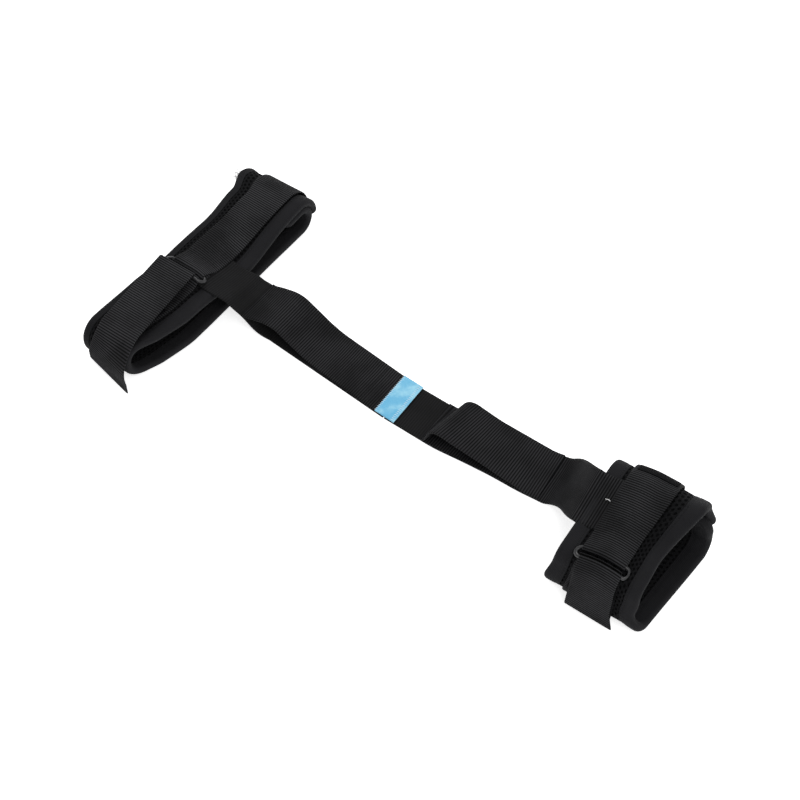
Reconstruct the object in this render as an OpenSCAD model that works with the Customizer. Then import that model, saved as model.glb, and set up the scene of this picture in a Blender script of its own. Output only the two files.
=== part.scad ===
// Two-cuff lifting belt: a wide thigh cuff and a smaller ankle cuff, joined by a
// webbing strap that carries two sewn hand grips and a woven label.
// X runs along the strap from the thigh cuff to the ankle cuff, Y across it, Z up.
// The belt lies on a flat surface at z = 0.

/* [Webbing] */
// Width of the strap and its grips
strap_w = 50; // [45:1:55]
// Width of the webbing round the cuffs
cuff_web_w = 44; // [40:1:46]
// Thickness of all webbing
web_t = 1.6; // [1.2:0.1:1.6]

/* [Pads] */
// Length of the thigh cuff along the limb
thigh_pad_w = 82; // [80:1:88]
// Length of the ankle cuff along the limb
ankle_pad_w = 92; // [86:1:96]
// Thickness of the foam core
foam_t = 4; // [3:0.5:4]
// Thickness of the mesh cloth on each face of the foam
mesh_t = 1; // [0.8:0.1:1]
// Width of the edge binding on each face
bind_w = 16; // [12:1:18]
// Thickness of the edge binding
bind_t = 0.8; // [0.6:0.1:0.8]
// Length of the flat stretch of the thigh cuff between its two bends
thigh_flat = 231; // [210:1:240]
// Length of the flat stretch under the ankle cuff
ankle_flat = 83; // [78:1:90]
// Rise of the ankle cuff's top towards its far side, in degrees
ankle_slope = 14; // [10:1:18]

/* [Places along the strap] */
// Middle of the thigh cuff
thigh_x = -246; // [-252:1:-244]
// Middle of the ankle cuff
ankle_x = 262; // [260:1:268]
// Fold line beside the thigh cuff
thigh_fold_x = -181; // [-182:0.5:-180]
// Fold line in the single layer between label and ankle grip
mid_fold_x = 31; // [26:1:36]
// Fold line beside the ankle cuff
ankle_fold_x = 166; // [164:1:168]

/* [Rings] */
// Diameter of the ring's round bar
bar_d = 3.4; // [3:0.1:3.4]
// Distance between the ring's two long bars
bar_gap = 9.5; // [9.5:0.5:11]
// Upward tilt of the thigh ring, in degrees
thigh_ring_tilt = 20; // [10:1:25]

/* [Patches and label] */
// Thickness of hook and loop tape
tape_t = 0.9; // [0.7:0.1:0.9]
// Width of hook and loop tape
tape_w = 38; // [34:1:40]
// Length of the woven label along the strap
label_l = 23; // [18:1:26]

/* [Hidden] */

thigh_web_x = thigh_x + 3;
ankle_web_x = ankle_x - 5;

// ---- layers, measured outwards from the middle of the pad ----
slack = 0.1;                                // gap between layers that only lie on each other
pad_h = foam_t / 2 + mesh_t;                // pad without its binding
rim_h = pad_h + bind_t;                     // pad with its binding
web_off = rim_h + slack + web_t / 2;        // webbing that lies on the pad
over_off = web_off + web_t + slack;         // webbing that lies over the strap's end
tail_off = web_off + web_t / 2 + 2 * tape_t + 4 * slack + web_t / 2;
bar_r = bar_d / 2;
wrap_r = bar_r + slack + web_t / 2;         // webbing turned round a ring bar
pad_z = web_t + slack + rim_h;              // height of the pad's middle where it lies flat
end_bind = 12;                              // binding on the pad's two ends

// ---- routes: a start, a heading and legs of [straight length, arc radius, turn] ----
// Each station is [across, up, heading]; a positive turn is to the left.
function side(st, d) = [st[0] - d * sin(st[2]), st[1] + d * cos(st[2])];
function ahead(p, h, run) = [p[0] + run * cos(h), p[1] + run * sin(h)];
function arc_at(q, h, r, turn) =
    let (s = sign(turn), c = side([q[0], q[1], h], s * r))
    concat(side([c[0], c[1], h + turn], -s * r), h + turn);
function route(p, h, legs, i = 0) =
    i == len(legs) ? [[p[0], p[1], h]] :
    let (leg = legs[i], q = ahead(p, h, leg[0]), n = ceil(abs(leg[2]) / 10),
         bend = [for (k = [1:1:n]) arc_at(q, h, leg[1], leg[2] * k / n)],
         last = n > 0 ? bend[n - 1] : [q[0], q[1], h])
    concat([[p[0], p[1], h]],
           leg[0] > 0 && n > 0 ? [[q[0], q[1], h]] : [],
           [for (k = [0:1:n - 2]) bend[k]],
           route([last[0], last[1]], h + leg[2], legs, i + 1));
function first(st, n) = [for (i = [0:n]) st[i]];
function final(st, n) = [for (i = [len(st) - 1 - n:len(st) - 1]) st[i]];
function lowest(st, k) = min([for (s = st) s[k]]);

module band(st, d0, d1)
    polygon(concat([for (s = st) side(s, d0)],
                   [for (i = [len(st) - 1:-1:0]) side(st[i], d1)]));
module from_to(x0, x1)
    translate([x0, 0, 0]) rotate([90, 0, 90]) linear_extrude(x1 - x0) children();

// ---- thigh cuff, as a cross-section ----
thigh_in_r = 13.5;                          // inner layer at the far bend
thigh_out_r = thigh_in_r + 2 * rim_h + 0.3; // outer layer at the far bend
thigh_far_y = 118;
thigh_near_y = thigh_far_y - thigh_flat;
thigh_far_z = pad_z + thigh_in_r;
thigh_top_z = thigh_far_z + thigh_out_r;
thigh_near_r = (thigh_top_z - pad_z) / 2;
thigh_near_z = pad_z + thigh_near_r;
thigh_lap = 24;
thigh_pad = route([thigh_far_y - thigh_lap, thigh_far_z + thigh_in_r], 0,
    [[end_bind, 0, 0], [thigh_lap - end_bind, thigh_in_r, -180],
     [thigh_flat, thigh_near_r, -180], [thigh_flat, thigh_out_r, -110]]);

// ring and the webbing's turned-under end
turned = 8;
swoop_r = 12;
swoop = 20;
function swoop_run(drop) = (drop - 2 * swoop_r * (1 - cos(swoop))) / sin(swoop);
function swoop_length(drop) = 2 * swoop_r * sin(swoop) + swoop_run(drop) * cos(swoop);
thigh_bar_y = -16;
thigh_bar = [thigh_bar_y, thigh_top_z + over_off + wrap_r];
thigh_outer_bar = ahead(thigh_bar, 180 - thigh_ring_tilt, bar_gap);
thigh_web_far_r = thigh_top_z + over_off - thigh_far_z;
thigh_exit = 65;                            // turn left when the webbing leaves the pad's end
thigh_leave = arc_at([thigh_far_y, thigh_far_z + thigh_web_far_r], 0, thigh_web_far_r,
    thigh_exit - 180);
thigh_exit_r = (thigh_leave[1] - web_t / 2) / (1 - cos(thigh_exit));
thigh_bottom_y = thigh_leave[0] - thigh_exit_r * sin(thigh_exit);
thigh_web = route([thigh_bar_y + turned, thigh_top_z + over_off], 180,
    [[turned, wrap_r, -180],
     [0, swoop_r, -swoop], [swoop_run(2 * wrap_r), swoop_r, swoop],
     [thigh_far_y - thigh_bar_y - swoop_length(2 * wrap_r), thigh_web_far_r, thigh_exit - 180],
     [0, thigh_exit_r, -thigh_exit],
     [thigh_bottom_y - thigh_near_y, thigh_near_r + web_off, -180],
     [thigh_outer_bar[0] - 0.5 - thigh_near_y, 0, 0]]);

// ---- tails: off the ring's outer bar, over a bend of the cuff and down ----
opening = 60;                               // wrap round the bar that the tail keeps
function tail_heading(bar, c, r) =
    let (v = c - bar) atan2(v[1], v[0]) - asin((r - wrap_r) / norm(v));
function tail_start(bar, h) =
    let (a = h - opening) concat([bar[0] + wrap_r * sin(a), bar[1] - wrap_r * cos(a)], a);
function tail_run(bar, c, r) = sqrt(pow(norm(c - bar), 2) - pow(r - wrap_r, 2));
function tail_route(bar, c, r, down, rest) =
    let (h = tail_heading(bar, c, r) + 360, h1 = h > 360 ? h - 360 : h, a = tail_start(bar, h1))
    route([a[0], a[1]], a[2],
          concat([[0, wrap_r, opening], [tail_run(bar, c, r), r, down - h1]], rest));

thigh_near_c = [thigh_near_y, thigh_near_z];
thigh_tail = tail_route(thigh_outer_bar, thigh_near_c, thigh_near_r + tail_off, 265,
    [[10, 14, -45], [6, 0, 0]]);
thigh_bend_n = 10;                          // stations from the bend to the tail's end

// ---- ankle cuff, as a cross-section ----
ankle_in_r = 13.5;
ankle_corner_r = 12;
ankle_near_r = 14;
ankle_wall = 22;
ankle_lean = 10;                            // far wall leans in by this much
ankle_near_lean = 18;                       // near wall leans in by this much
ankle_inner_run = 26;
ankle_outer_run = 22;
ankle_shoulder_r = 18;
ankle_far_y = 9;
ankle_near_y = ankle_far_y - ankle_flat;
ankle_inner = [ankle_far_y + ankle_in_r * cos(ankle_lean) - ankle_inner_run * sin(ankle_lean),
               pad_z + ankle_in_r * (1 + sin(ankle_lean)) + ankle_inner_run * cos(ankle_lean)];
near_up = 90 - ankle_near_lean;             // heading of the near wall
ankle_wall_foot = side([ankle_near_y, pad_z + ankle_corner_r, near_up], ankle_corner_r);
ankle_wall_top = ahead(ankle_wall_foot, near_up, ankle_wall);
ankle_near_c = side(concat(ankle_wall_top, near_up), -ankle_near_r);
ankle_top = ahead(ankle_near_c, 90 + ankle_slope, ankle_near_r);
// The outer layer's far wall runs beside the inner one; the sloping top is as long as that needs.
wall_dir = [sin(ankle_lean), -cos(ankle_lean)];
top_dir = [cos(ankle_slope), sin(ankle_slope)];
shoulder = ankle_shoulder_r * [sin(ankle_slope) + cos(ankle_lean),
                               sin(ankle_lean) - cos(ankle_slope)];
wall_pt = ahead(ankle_inner, ankle_lean, 2 * rim_h + 0.3);
ankle_top_run = cross(wall_pt - ankle_top - shoulder, wall_dir) / cross(top_dir, wall_dir);
shoulder_turn = ankle_slope + 90 - ankle_lean;
ankle_pad = route(ankle_inner, ankle_lean - 90,
    [[end_bind, 0, 0], [ankle_inner_run - end_bind, ankle_in_r, -90 - ankle_lean],
     [ankle_flat, ankle_corner_r, near_up - 180],
     [ankle_wall, ankle_near_r, ankle_slope - near_up],
     [ankle_top_run, ankle_shoulder_r, -shoulder_turn],
     [ankle_outer_run - end_bind, 0, 0], [end_bind, 0, 0]]);

ankle_bar_run = 4;                          // from the near bend to the ring, along the top
ankle_tail_run = 33;                        // tail below the near bend
ankle_bar_foot = ahead(ankle_top, ankle_slope, ankle_bar_run);
ankle_bar = ahead(ankle_bar_foot, ankle_slope + 90, web_off + wrap_r);
ankle_outer_bar = ahead(ankle_bar, ankle_slope + 180, bar_gap);
ankle_drop = web_off + 2 * wrap_r - over_off;
ankle_over_run = ankle_top_run - ankle_bar_run - swoop_length(ankle_drop);
ankle_web_start = ahead(ahead(ankle_bar_foot, ankle_slope + 90, web_off), ankle_slope, turned);
// Round the far side the webbing comes down outside both layers, then steps in under the cuff.
ankle_step = 62;
ankle_leave = final(route(ahead(ahead(ankle_top, ankle_slope, ankle_top_run), ankle_slope + 90,
    over_off), ankle_slope,
    [[0, ankle_shoulder_r + over_off, -shoulder_turn], [ankle_outer_run + 2, 0, 0]]), 0)[0];
ankle_turn = 90 + ankle_lean;
ankle_corner = 16;
ankle_down = (ankle_leave[1] - web_t / 2 - ankle_corner * (1 + sin(ankle_lean))) / cos(ankle_lean);
ankle_bottom_y = ankle_leave[0] + ankle_down * sin(ankle_lean) - ankle_corner * cos(ankle_lean);
ankle_web = route(ankle_web_start, ankle_slope + 180,
    [[turned, wrap_r, -180],
     [0, swoop_r, -swoop], [swoop_run(ankle_drop), swoop_r, swoop],
     [ankle_over_run, ankle_shoulder_r + over_off, -shoulder_turn],
     [ankle_outer_run + 2 + ankle_down, ankle_corner, -ankle_turn],
     [ankle_bottom_y - ankle_near_y, ankle_corner_r + web_off, near_up - 180],
     [ankle_wall, ankle_near_r + web_off, 60 - near_up]]);
ankle_tail = tail_route(ankle_outer_bar, ankle_near_c, ankle_near_r + tail_off, 180 + near_up,
    [[ankle_tail_run, 0, 0]]);

// ---- strap: side route of each piece, and the way it wanders sideways ----
thigh_lap_z = thigh_top_z + web_off;
drop_a = 52;                                // steepness beside the thigh cuff
drop_r1 = 18;
drop_r2 = 28;
thigh_rim_x = thigh_x + thigh_pad_w / 2;
thigh_drop = (thigh_lap_z - web_t / 2 - (drop_r1 + drop_r2) * (1 - cos(drop_a))) / sin(drop_a);
thigh_top_run = 58;
thigh_start_x = thigh_rim_x - thigh_top_run;
fold_gap = 1;                               // webbing stops this short of a fold line
drop_x = thigh_rim_x + drop_r1 * sin(drop_a);
drop_z = thigh_lap_z - drop_r1 * (1 - cos(drop_a));
to_fold = (thigh_fold_x - drop_x) / cos(drop_a);
thigh_fold_z = drop_z - to_fold * sin(drop_a);
thigh_link = route([thigh_start_x, thigh_lap_z], 0,
    [[thigh_top_run, drop_r1, -drop_a], [to_fold - fold_gap, 0, 0]]);
strap_start = ahead([thigh_fold_x, thigh_fold_z], -drop_a, fold_gap);
table_x = drop_x + thigh_drop * cos(drop_a) + drop_r2 * sin(drop_a);
strap_a = route(strap_start, -drop_a,
    [[thigh_drop - to_fold - fold_gap, drop_r2, drop_a], [mid_fold_x - fold_gap - table_x, 0, 0]]);
strap_b = route([mid_fold_x + fold_gap, web_t / 2], 0,
    [[ankle_fold_x - mid_fold_x - 2 * fold_gap, 0, 0]]);

// Grips: a second layer, sewn down at both ends and standing off between them.
grip_z = 3 * web_t / 2 + slack;
grip_a_start = side(concat(ahead(strap_start, -drop_a, 2), -drop_a), web_t + slack);
grip_rise = 46;
grip_flat = 14;
grip_a_legs = [[7, 10, grip_rise], [30, 300, drop_a - grip_rise - grip_flat]];
grip_a_mid = final(route(grip_a_start, -drop_a, grip_a_legs), 0)[0];
grip_a_run = (grip_a_mid[1] - grip_z - 60 * (1 - cos(grip_flat))) / sin(grip_flat);
grip_a_end = -label_l / 2 + 4;
grip_a_down = grip_a_mid[0] + grip_a_run * cos(grip_flat) + 60 * sin(grip_flat);
grip_a = route(grip_a_start, -drop_a,
    concat(grip_a_legs, [[grip_a_run, 60, grip_flat], [grip_a_end - grip_a_down, 0, 0]]));
grip_b_x = 43;
grip_b_legs = [[4, 4, 75], [10, 12, -97], [12, 150, 10]];
grip_b_mid = final(route([grip_b_x, grip_z], 0, grip_b_legs), 0)[0];
grip_b_run = (grip_b_mid[1] - grip_z - 60 * (1 - cos(12))) / sin(12);
grip_b_down = grip_b_mid[0] + grip_b_run * cos(12) + 60 * sin(12);
grip_b = route([grip_b_x, grip_z], 0, concat(grip_b_legs,
    [[grip_b_run, 60, 12], [ankle_fold_x - 3 - grip_b_down, 0, 0]]));

// The strap's middle line wanders sideways as it lies.
wander = [[-206, 0], [-175, 7], [-140, 11], [-100, 9], [-50, 3], [0, -2], [60, -3], [90, 0],
          [120, 2], [150, 0], [166, -3]];
function across(x) = lookup(x, wander);

// The ankle link climbs from the surface to the cuff's sloping top and tilts with it.
ankle_lap_run = 48;                         // strap's middle, from the near bend along the top
ankle_lap = ahead(ahead(ankle_top, ankle_slope, ankle_lap_run), ankle_slope + 90, web_off);
ankle_rim_x = ankle_x - ankle_pad_w / 2;
ankle_climb = ankle_rim_x - 3 - ankle_fold_x - fold_gap;
function ease(t) = t * t * (3 - 2 * t);
climb = [for (k = [0:12]) let (t = k / 12)
    [ankle_fold_x + fold_gap + t * ankle_climb, across(ankle_fold_x) +
     (ankle_lap[0] - across(ankle_fold_x)) * sin(90 * t),
     web_t / 2 + (ankle_lap[1] - web_t / 2) * ease(t), ankle_slope * ease(t)]];
ankle_link_end = ankle_web_x + cuff_web_w / 2 - 4;

// A strip of webbing through places of [x, y, z, slope of the path, sideways tilt].
function strip_place(s) = [s[0], across(s[0]), s[1], s[2], 0];
module strip(places, w) {
    n = len(places);
    corners = [for (p = places) for (c = [[-1, -1], [1, -1], [1, 1], [-1, 1]])
        let (a = c[0] * w / 2, b = c[1] * web_t / 2)
        [p[0] - b * sin(p[3]), p[1] + a * cos(p[4]) - b * sin(p[4]) * cos(p[3]),
         p[2] + a * sin(p[4]) + b * cos(p[3]) * cos(p[4])]];
    polyhedron(corners, concat(
        [[0, 1, 2], [0, 2, 3]],
        [for (i = [0:n - 2]) for (k = [0:3])
            let (a = 4 * i + k, b = 4 * i + (k + 1) % 4) [a, a + 4, b]],
        [for (i = [0:n - 2]) for (k = [0:3])
            let (a = 4 * i + k, b = 4 * i + (k + 1) % 4) [b, a + 4, b + 4]],
        [[4 * n - 2, 4 * n - 3, 4 * n - 4], [4 * n - 1, 4 * n - 2, 4 * n - 4]]));
}
function finer(st) = [for (i = [0:len(st) - 2])
    let (n = max(1, ceil(norm([st[i + 1][0] - st[i][0], st[i + 1][1] - st[i][1]]) / 8)))
    for (k = [0:n - 1]) st[i] + (st[i + 1] - st[i]) * k / n, st[len(st) - 1]];
module strap_strip(st) strip([for (s = finer(st)) strip_place(s)], strap_w);

// ---- whole object stands centred over the origin ----
mid_x = (thigh_x - thigh_pad_w / 2 + ankle_x + ankle_pad_w / 2) / 2;
far_y = thigh_far_y + thigh_web_far_r + web_t / 2;
near_y = lowest(thigh_tail, 0) - web_t / 2 * sin(40);
mid_y = (far_y + near_y) / 2;
module placed() translate([-mid_x, -mid_y, 0]) children();

// ---- cuffs ----
module pad_layer(st, x, w, d0, d1)
    from_to(x - w / 2 + bind_t, x + w / 2 - bind_t) band(st, d0, d1);

// Tape folded over all four edges of a pad: a shell round it, open over the middle of both faces.
function longer(st, d) = let (n = len(st) - 1, a = ahead(st[0], st[0][2] + 180, d),
                              b = ahead(st[n], st[n][2], d))
    concat([concat(a, st[0][2])], [for (i = [1:n - 1]) st[i]], [concat(b, st[n][2])]);
module edge_binding(st, x, w) {
    lo = x - w / 2;
    hi = x + w / 2;
    inner = [for (i = [1:len(st) - 2]) st[i]];
    difference() {
        from_to(lo, hi) band(longer(st, bind_t), -rim_h, rim_h);
        from_to(lo + bind_t, hi - bind_t) band(st, -pad_h, pad_h);
        from_to(lo + bind_w, hi - bind_w) band(inner, -rim_h - slack, rim_h + slack);
    }
}

module cuff_web(st, x) from_to(x - cuff_web_w / 2, x + cuff_web_w / 2)
    band(st, -web_t / 2, web_t / 2);
module tape(st, x, d0) from_to(x - tape_w / 2, x + tape_w / 2) band(st, d0, d0 + tape_t);

// Moulded ring: two long round bars joined by half circles, lying along X through both bars.
module ring(x, bar, heading) {
    straight = cuff_web_w + 2;
    translate([x, bar[0], bar[1]]) rotate([heading, 0, 0]) {
        for (y = [0, bar_gap])
            translate([-straight / 2, y, 0]) rotate([0, 90, 0])
                cylinder(h = straight, r = bar_r, $fn = 48);
        for (s = [-1, 1])
            translate([s * straight / 2, bar_gap / 2, 0]) rotate([0, 0, -90 * s])
                rotate_extrude(angle = 180, $fn = 48) translate([bar_gap / 2, 0]) circle(bar_r, $fn = 48);
    }
}

// Box of thread with a cross in it, on a flat piece of webbing; u runs along X, v across.
thread = 0.7;
module box_stitch(u, v) {
    for (s = [-1, 1]) {
        translate([-u / 2, s * v / 2 - thread / 2, 0]) cube([u, thread, 0.3]);
        translate([s * u / 2 - thread / 2, -v / 2 + thread / 2, 0])
            cube([thread, v - thread, 0.3]);
    }
    a = atan2(v, u);
    long = norm([u, v]) - 3;
    linear_extrude(0.3) union() {
        rotate(a) square([long, thread], center = true);
        rotate(-a) square([long, thread], center = true);
    }
}
box_u = 34;
ankle_box_v = 40;
thigh_box_v = 20;
thigh_box_y = thigh_bar_y + swoop_length(2 * wrap_r) + 1 + thigh_box_v / 2;

// ---- nodes ----
module thigh_pad_foam() color("dimgray") pad_layer(thigh_pad, thigh_x, thigh_pad_w, -foam_t / 2, foam_t / 2);
module thigh_pad_outer_mesh() color([0.09, 0.09, 0.1]) pad_layer(thigh_pad, thigh_x, thigh_pad_w, foam_t / 2, pad_h);
module thigh_pad_lining() color([0.08, 0.08, 0.09]) pad_layer(thigh_pad, thigh_x, thigh_pad_w, -pad_h, -foam_t / 2);
module thigh_edge_binding() color([0.07, 0.07, 0.08]) edge_binding(thigh_pad, thigh_x, thigh_pad_w);
module thigh_cuff_webbing() color([0.1, 0.1, 0.11]) cuff_web(thigh_web, thigh_web_x);
module thigh_link_webbing() color([0.1, 0.1, 0.11]) strap_strip(thigh_link);
module thigh_box_stitching() color([0.13, 0.13, 0.14])
    translate([thigh_web_x, thigh_box_y, thigh_top_z + over_off + web_t / 2])
        box_stitch(box_u, thigh_box_v);
module thigh_loop_tape() color([0.08, 0.08, 0.09])
    tape(route([thigh_near_y, thigh_top_z], 0, [[45, 0, 0]]), thigh_web_x, web_off + web_t / 2 + slack);
module thigh_ring() color([0.15, 0.15, 0.17]) ring(thigh_web_x, thigh_bar, 180 - thigh_ring_tilt);
module thigh_tail_webbing() color([0.1, 0.1, 0.11]) cuff_web(thigh_tail, thigh_web_x);
module thigh_hook_tape() color([0.06, 0.06, 0.07])
    tape(first(final(thigh_tail, thigh_bend_n), 4), thigh_web_x, web_t / 2 + slack);

module strap_webbing_thigh_side() color([0.1, 0.1, 0.11]) strap_strip(strap_a);
module thigh_side_grip() color([0.11, 0.11, 0.12]) strap_strip(grip_a);
module strap_webbing_ankle_side() color([0.1, 0.1, 0.11]) strap_strip(strap_b);
module ankle_side_grip() color([0.11, 0.11, 0.12]) strap_strip(grip_b);
module woven_label() color([0.36, 0.74, 0.88])
    translate([-label_l / 2, across(0) - strap_w / 2, grip_z + web_t / 2]) cube([label_l, strap_w, 0.5]);
module label_stitching() color([0.75, 0.9, 0.96])
    for (x = [-label_l / 2 + 1.5, label_l / 2 - 2.1]) for (k = [0:15])
        translate([x, across(0) - strap_w / 2 + 1.5 + 3 * k, grip_z + web_t / 2 + 0.5])
            cube([0.6, 2, 0.25]);
// Rows of dense thread that hold a grip down at both ends.
module bar_tack(x, z) translate([x, across(x) - strap_w / 2 + 5, z + web_t / 2])
    cube([1.6, strap_w - 10, 0.3]);
module thigh_side_bar_tacks() color([0.13, 0.13, 0.14]) for (x = [-30, -24]) bar_tack(x, grip_z);
module ankle_side_bar_tacks() color([0.13, 0.13, 0.14]) {
    bar_tack(grip_b_x + 1, grip_z);
    bar_tack(ankle_fold_x - 6, grip_z);
}

module ankle_pad_foam() color("dimgray") pad_layer(ankle_pad, ankle_x, ankle_pad_w, -foam_t / 2, foam_t / 2);
module ankle_pad_outer_mesh() color([0.09, 0.09, 0.1]) pad_layer(ankle_pad, ankle_x, ankle_pad_w, foam_t / 2, pad_h);
module ankle_pad_lining() color([0.08, 0.08, 0.09]) pad_layer(ankle_pad, ankle_x, ankle_pad_w, -pad_h, -foam_t / 2);
module ankle_edge_binding() color([0.07, 0.07, 0.08]) edge_binding(ankle_pad, ankle_x, ankle_pad_w);
module ankle_cuff_webbing() color([0.1, 0.1, 0.11]) cuff_web(ankle_web, ankle_web_x);
module ankle_link_webbing() color([0.1, 0.1, 0.11])
    strip(concat(
        [for (c = climb) let (t = (c[0] - climb[0][0]) / ankle_climb)
            [c[0], c[1], c[2], atan2((ankle_lap[1] - web_t / 2) * 6 * t * (1 - t), ankle_climb), c[3]]],
        [[ankle_link_end, ankle_lap[0], ankle_lap[1], 0, ankle_slope]]), strap_w - 0.01);
module ankle_box_stitching() color([0.13, 0.13, 0.14])
    translate([ankle_web_x, ankle_lap[0], ankle_lap[1]]) rotate([ankle_slope, 0, 0])
        translate([0, 0, over_off - web_off + web_t / 2]) box_stitch(box_u, ankle_box_v);
module ankle_loop_tape() color([0.08, 0.08, 0.09])
    tape(route(ankle_wall_foot, near_up, [[ankle_wall, 0, 0]]),
         ankle_web_x, web_off + web_t / 2 + slack);
// Short doubled end of hook tape on the far shoulder.
ankle_tab = first(route(ahead(ahead(ankle_top, ankle_slope, ankle_top_run), ankle_slope + 90,
    over_off), ankle_slope, [[0, ankle_shoulder_r + over_off, -shoulder_turn]]), 6);
module ankle_far_hook_tab() color([0.06, 0.06, 0.07])
    tape(final(ankle_tab, 4), ankle_web_x, web_t / 2 + slack);
module ankle_ring() color([0.15, 0.15, 0.17]) ring(ankle_web_x, ankle_bar, 180 + ankle_slope);
module ankle_tail_webbing() color([0.1, 0.1, 0.11]) cuff_web(ankle_tail, ankle_web_x);
module ankle_hook_tape() color([0.06, 0.06, 0.07])
    tape(final(ankle_tail, 1), ankle_web_x, web_t / 2 + slack);

placed() thigh_pad_foam();
placed() thigh_pad_outer_mesh();
placed() thigh_pad_lining();
placed() thigh_edge_binding();
placed() thigh_cuff_webbing();
placed() thigh_link_webbing();
placed() thigh_box_stitching();
placed() thigh_loop_tape();
placed() thigh_ring();
placed() thigh_tail_webbing();
placed() thigh_hook_tape();
placed() strap_webbing_thigh_side();
placed() thigh_side_grip();
placed() thigh_side_bar_tacks();
placed() woven_label();
placed() label_stitching();
placed() strap_webbing_ankle_side();
placed() ankle_side_grip();
placed() ankle_side_bar_tacks();
placed() ankle_pad_foam();
placed() ankle_pad_outer_mesh();
placed() ankle_pad_lining();
placed() ankle_edge_binding();
placed() ankle_cuff_webbing();
placed() ankle_link_webbing();
placed() ankle_box_stitching();
placed() ankle_loop_tape();
placed() ankle_far_hook_tab();
placed() ankle_ring();
placed() ankle_tail_webbing();
placed() ankle_hook_tape();
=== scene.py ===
"""A leg lifting belt: two padded cuffs, a webbing strap with two hand grips, and ring closures.

The belt lies on a pale table top. Lengths are in millimetres until `mm` makes them metres.
"""

import math

import bmesh
import bpy
import numpy as np
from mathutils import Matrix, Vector


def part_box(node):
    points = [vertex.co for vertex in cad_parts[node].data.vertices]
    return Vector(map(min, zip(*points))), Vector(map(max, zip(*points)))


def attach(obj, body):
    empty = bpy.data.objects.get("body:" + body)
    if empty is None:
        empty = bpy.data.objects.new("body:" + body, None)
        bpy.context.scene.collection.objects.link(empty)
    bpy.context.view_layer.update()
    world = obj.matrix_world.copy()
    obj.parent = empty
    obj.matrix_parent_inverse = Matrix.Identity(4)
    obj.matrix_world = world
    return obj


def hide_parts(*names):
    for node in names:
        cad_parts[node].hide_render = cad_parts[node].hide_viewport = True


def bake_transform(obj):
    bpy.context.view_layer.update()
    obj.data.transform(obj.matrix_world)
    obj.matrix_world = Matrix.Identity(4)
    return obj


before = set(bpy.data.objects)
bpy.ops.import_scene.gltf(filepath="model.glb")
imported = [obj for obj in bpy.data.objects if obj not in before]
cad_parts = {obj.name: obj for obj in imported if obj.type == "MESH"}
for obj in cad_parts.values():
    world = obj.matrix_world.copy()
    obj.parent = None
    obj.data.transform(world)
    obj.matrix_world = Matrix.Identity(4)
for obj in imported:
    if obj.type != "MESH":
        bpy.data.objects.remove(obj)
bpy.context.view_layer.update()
mm = 0.001


# ---- Table top and studio -------------------------------------------------------------------
# A matt white sheet lit from all round by a white room and two large soft lamps. The camera
# stands at arm's length over the ankle end of the strap.


class Wire:
    """One output of a node. Arithmetic on a wire adds Math nodes to its tree."""

    def __init__(self, socket):
        self.socket = socket
        self.tree = socket.id_data

    @classmethod
    def node(cls, tree, kind, settings=None, out=None, **sockets):
        """Adds a node: first its settings, then its sockets, named with _ for each blank."""
        made = tree.nodes.new(kind)
        for name, value in (settings or {}).items():
            setattr(made, name, value)
        for name, value in sockets.items():
            plain, _, number = name.rpartition("_")
            if not number.isdigit():
                plain, number = name, 1
            plain = plain.replace("_", " ")
            alike = [s for s in made.inputs if s.enabled and s.name == plain]
            socket = alike[int(number) - 1]
            if isinstance(value, cls):
                tree.links.new(value.socket, socket)
            else:
                socket.default_value = value
        if isinstance(out, tuple):
            return [cls(made.outputs[o]) for o in out]
        return cls(next(s for s in made.outputs if s.enabled and out in (None, s.name)))

    def maths(self, operation, *others):
        values = {f"Value_{i}": v for i, v in enumerate((self, *others), start=1)}
        return Wire.node(self.tree, "ShaderNodeMath", {"operation": operation}, **values)

    def vector(self, operation, **others):
        settings = {"operation": operation}
        return Wire.node(self.tree, "ShaderNodeVectorMath", settings, Vector_1=self, **others)

    def between(self, low, high):
        """0 at low, 1 at high and smooth between them."""
        settings = {"interpolation_type": "SMOOTHSTEP"}
        return Wire.node(self.tree, "ShaderNodeMapRange", settings, Value=self,
                         From_Min=low, From_Max=high)

    def split(self):
        made = self.tree.nodes.new("ShaderNodeSeparateXYZ")
        self.tree.links.new(self.socket, made.inputs[0])
        return [Wire(s) for s in made.outputs]

    def __add__(self, other):
        return self.maths("ADD", other)

    __radd__ = __add__

    def __sub__(self, other):
        return self.maths("SUBTRACT", other)

    def __rsub__(self, other):
        return self * -1 + other

    def __mul__(self, other):
        return self.maths("MULTIPLY", other)

    __rmul__ = __mul__

    def __truediv__(self, other):
        return self.maths("DIVIDE", other)

    def __pow__(self, other):
        return self.maths("POWER", other)

    def __abs__(self):
        return self.maths("ABSOLUTE")


def new_finish(name):
    """An empty material and its tree."""
    material = bpy.data.materials.new(name)
    material.use_nodes = True
    material.node_tree.nodes.clear()
    return material, material.node_tree


def show(tree, **sockets):
    """A Principled shader with these sockets, joined to the material's output."""
    shader = Wire.node(tree, "ShaderNodeBsdfPrincipled", **sockets)
    output = tree.nodes.new("ShaderNodeOutputMaterial")
    tree.links.new(shader.socket, output.inputs["Surface"])


def places_on(tree):
    """Object coordinates, which hold still on a finished piece."""
    return Wire.node(tree, "ShaderNodeTexCoord", out="Object")


def speckle(tree, scale, detail=3.0):
    """Noise over the piece, near 0.5; scale is in cells per metre."""
    return Wire.node(tree, "ShaderNodeTexNoise", Vector=places_on(tree), Scale=scale,
                     Detail=detail)


def tint(share, low, high):
    """A colour from low to high as share goes from 0 to 1."""
    return Wire.node(share.tree, "ShaderNodeMix", {"data_type": "RGBA"}, "Result",
                     Factor=share, A=(*low, 1), B=(*high, 1))


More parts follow.
